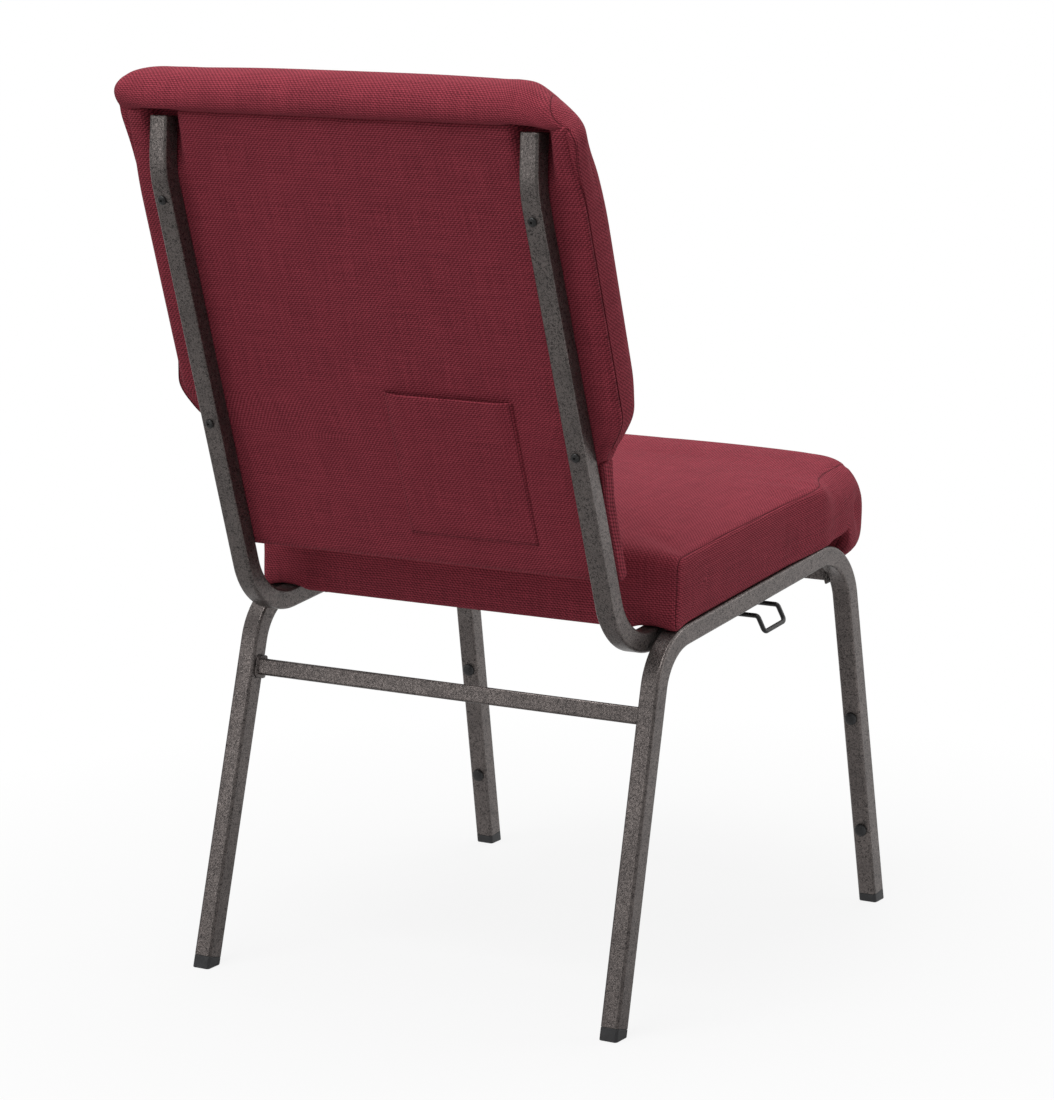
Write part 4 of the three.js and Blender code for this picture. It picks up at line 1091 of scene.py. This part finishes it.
def stitch_distance(point):
    """How far a point of the patch lies from the stitching on its two sides and its lower edge."""
    u, w = point.x + 0.5, point.y + 0.5
    sides = abs(u * POCKET_WIDTH - STITCH), abs((1 - u) * POCKET_WIDTH - STITCH)
    return max(0.45, min(*sides, abs(w * POCKET_HEIGHT - STITCH)))


bm = new_grid(60, 62)
lay_cloth(bm, lambda p: (p.x * POCKET_WIDTH + 7, p.y * POCKET_HEIGHT + 3), stitch_distance)
for v in bm.verts:
    u, w = v.co.x + 0.5, v.co.y + 0.5
    v.co = back_place(-129 + POCKET_WIDTH * u, 33.3 + 140.3 * w, -pocket_bulge(u, w))
bmesh.ops.solidify(bm, geom=bm.faces[:], thickness=1.1)
pocket = finish_piece(bm, "card_pocket_patch", burgundy_cloth, replaces=["card_pocket"])

# %% [markdown]
# ## Under the seat
# The brackets, the seat board and the small fasteners are seldom seen. Their solids already have the
# right shape, so they only get finishes. The dust cover is a thin bonded cloth, stretched under the
# board, and has a mesh of its own with a slight sag.

# %% Finishes for the hidden pieces
zinc_steel, tree, shader = new_finish("zinc_steel", Metallic=0.9, Roughness=0.32)
spangle = object_noise(tree, 300, 3)
feed(tree, shader, Base_Color=mix_colour(tree, spangle, linear(170, 174, 180), linear(205, 208, 212)),
     Roughness=ramp(tree, spangle, 0.3, 0.7, 0.25, 0.42))

black_cloth, tree, shader = new_finish("black_cloth", Roughness=0.95, Sheen_Weight=0.15)
fibres = object_noise(tree, 1500, 3, 0.7, 1.0)
feed(tree, shader, Base_Color=mix_colour(tree, fibres, linear(22, 22, 24), linear(48, 48, 50)),
     Normal=bump(tree, fibres, 0.0002, 0.6))

for entry in frame["record"]["subparts"]:
    node = frame["nodes"][entry["node"]]
    finish = bpy.data.materials[entry["material_slot"] + FINISH]
    node.data.materials.clear()
    node.data.materials.append(finish)

# %% Dust cover
bm = new_grid(60, 52)
for v in bm.verts:
    u, w = v.co.x, v.co.y
    sag = 0.5 * noise.noise(Vector((u * 9, w * 8, 3))) * (1 - abs(2 * u) ** 6) * (1 - abs(2 * w) ** 6)
    v.co = seat_place(u * 366, 35.5 + w * 313, -0.45 - sag * 0.6)
bmesh.ops.solidify(bm, geom=bm.faces[:], thickness=0.35)
dust_cover = finish_piece(bm, "seat_dust_cover", black_cloth, replaces=["seat_underlining"])

# %% [markdown]
# ## Studio
# A wide soft light stands overhead and a little behind the chair. Weaker ones at the front, at the front
# right and low at the rear left fill the shadows. The background is white to the camera; reflections
# show it white ahead of the chair and grey behind it. The floor is plain and pale, and keeps the chair's
# shadow.

# %% World and lamps
world = bpy.data.worlds.new("studio")
bpy.context.scene.world = world
world.use_nodes = True
tree = world.node_tree
tree.nodes.clear()
path = add_node(tree, "LightPath")
seen = reckon(tree, "MAXIMUM", path.outputs["Is Camera Ray"], path.outputs["Is Transmission Ray"])
rearward = add_node(tree, "SeparateXYZ", {0: add_node(tree, "TexCoord").outputs["Generated"]}).outputs[1]
dimmed = ramp(tree, rearward, -0.3, 0.5, 1.0, 0.34)
in_gloss = reckon(tree, "MULTIPLY", path.outputs["Is Glossy Ray"], dimmed)
seen = reckon(tree, "MAXIMUM", seen, in_gloss)
WHITE = (1, 1, 1, 1)
soft_air = add_node(tree, "Background", {"Color": WHITE, "Strength": 0.36})
white_wall = add_node(tree, "Background", {"Color": WHITE, "Strength": 1.0})
both = add_node(tree, "MixShader", {0: seen, 1: soft_air.outputs[0], 2: white_wall.outputs[0]})
add_node(tree, "OutputWorld", {0: both.outputs[0]})


def soft_lamp(name, place, aim, size, power):
    data = bpy.data.lights.new(name, "AREA")
    data.shape, data.size, data.energy = "DISK", size, power
    lamp = put(name, data)
    lamp.location = place
    lamp.rotation_euler = (Vector(aim) - Vector(place)).to_track_quat("-Z", "Y").to_euler()


soft_lamp("overhead_soft", (0.2, 1.1, 2.9), (0, 0, 0.5), 1.8, 58)
soft_lamp("front_soft", (0, -1.4, 2.7), (0, 0, 0.5), 1.8, 22)
soft_lamp("side_fill", (-2.6, -1.8, 1.5), (0, 0, 0.45), 1.6, 22)
soft_lamp("left_fill", (2.0, 3.2, 0.95), (0, 0, 0.5), 1.3, 10)
print("lamps:", [lamp.name for lamp in bpy.data.lights])

# %% Floor
bm = bmesh.new()
bmesh.ops.create_circle(bm, cap_ends=True, segments=64, radius=20)
floor = into_object("floor", bm)
floor.location.z = -0.0005
floor_paint = bpy.data.materials.new("floor_paint")
floor_paint.use_nodes = True
tree = floor_paint.node_tree
tree.nodes.clear()
path = add_node(tree, "LightPath")
paint = add_node(tree, "BsdfDiffuse", {"Color": (0.55, 0.55, 0.55, 1)})
glow = add_node(tree, "Emission", {"Color": WHITE, "Strength": 1.0})
spot = add_node(tree, "TexCoord").outputs["Object"]
away = add_node(tree, "VectorMath", {0: spot}, operation="LENGTH").outputs[1]
by_camera = reckon(tree, "MULTIPLY", path.outputs["Is Camera Ray"], ramp(tree, away, 0.3, 0.9, 0.88, 1.0))
ahead = ramp(tree, add_node(tree, "SeparateXYZ", {0: spot}).outputs[1], -0.4, 0.3, 0.9, 0.0)
in_gloss = reckon(tree, "MULTIPLY", path.outputs["Is Glossy Ray"], ahead)
share = reckon(tree, "MAXIMUM", by_camera, in_gloss)
mixed = add_node(tree, "MixShader", {0: share, 1: paint.outputs[0], 2: glow.outputs[0]})
add_node(tree, "OutputMaterial", {0: mixed.outputs[0]})
floor.data.materials.append(floor_paint)
print("floor:", floor_paint.name, "on", len(floor.data.polygons), "round face")
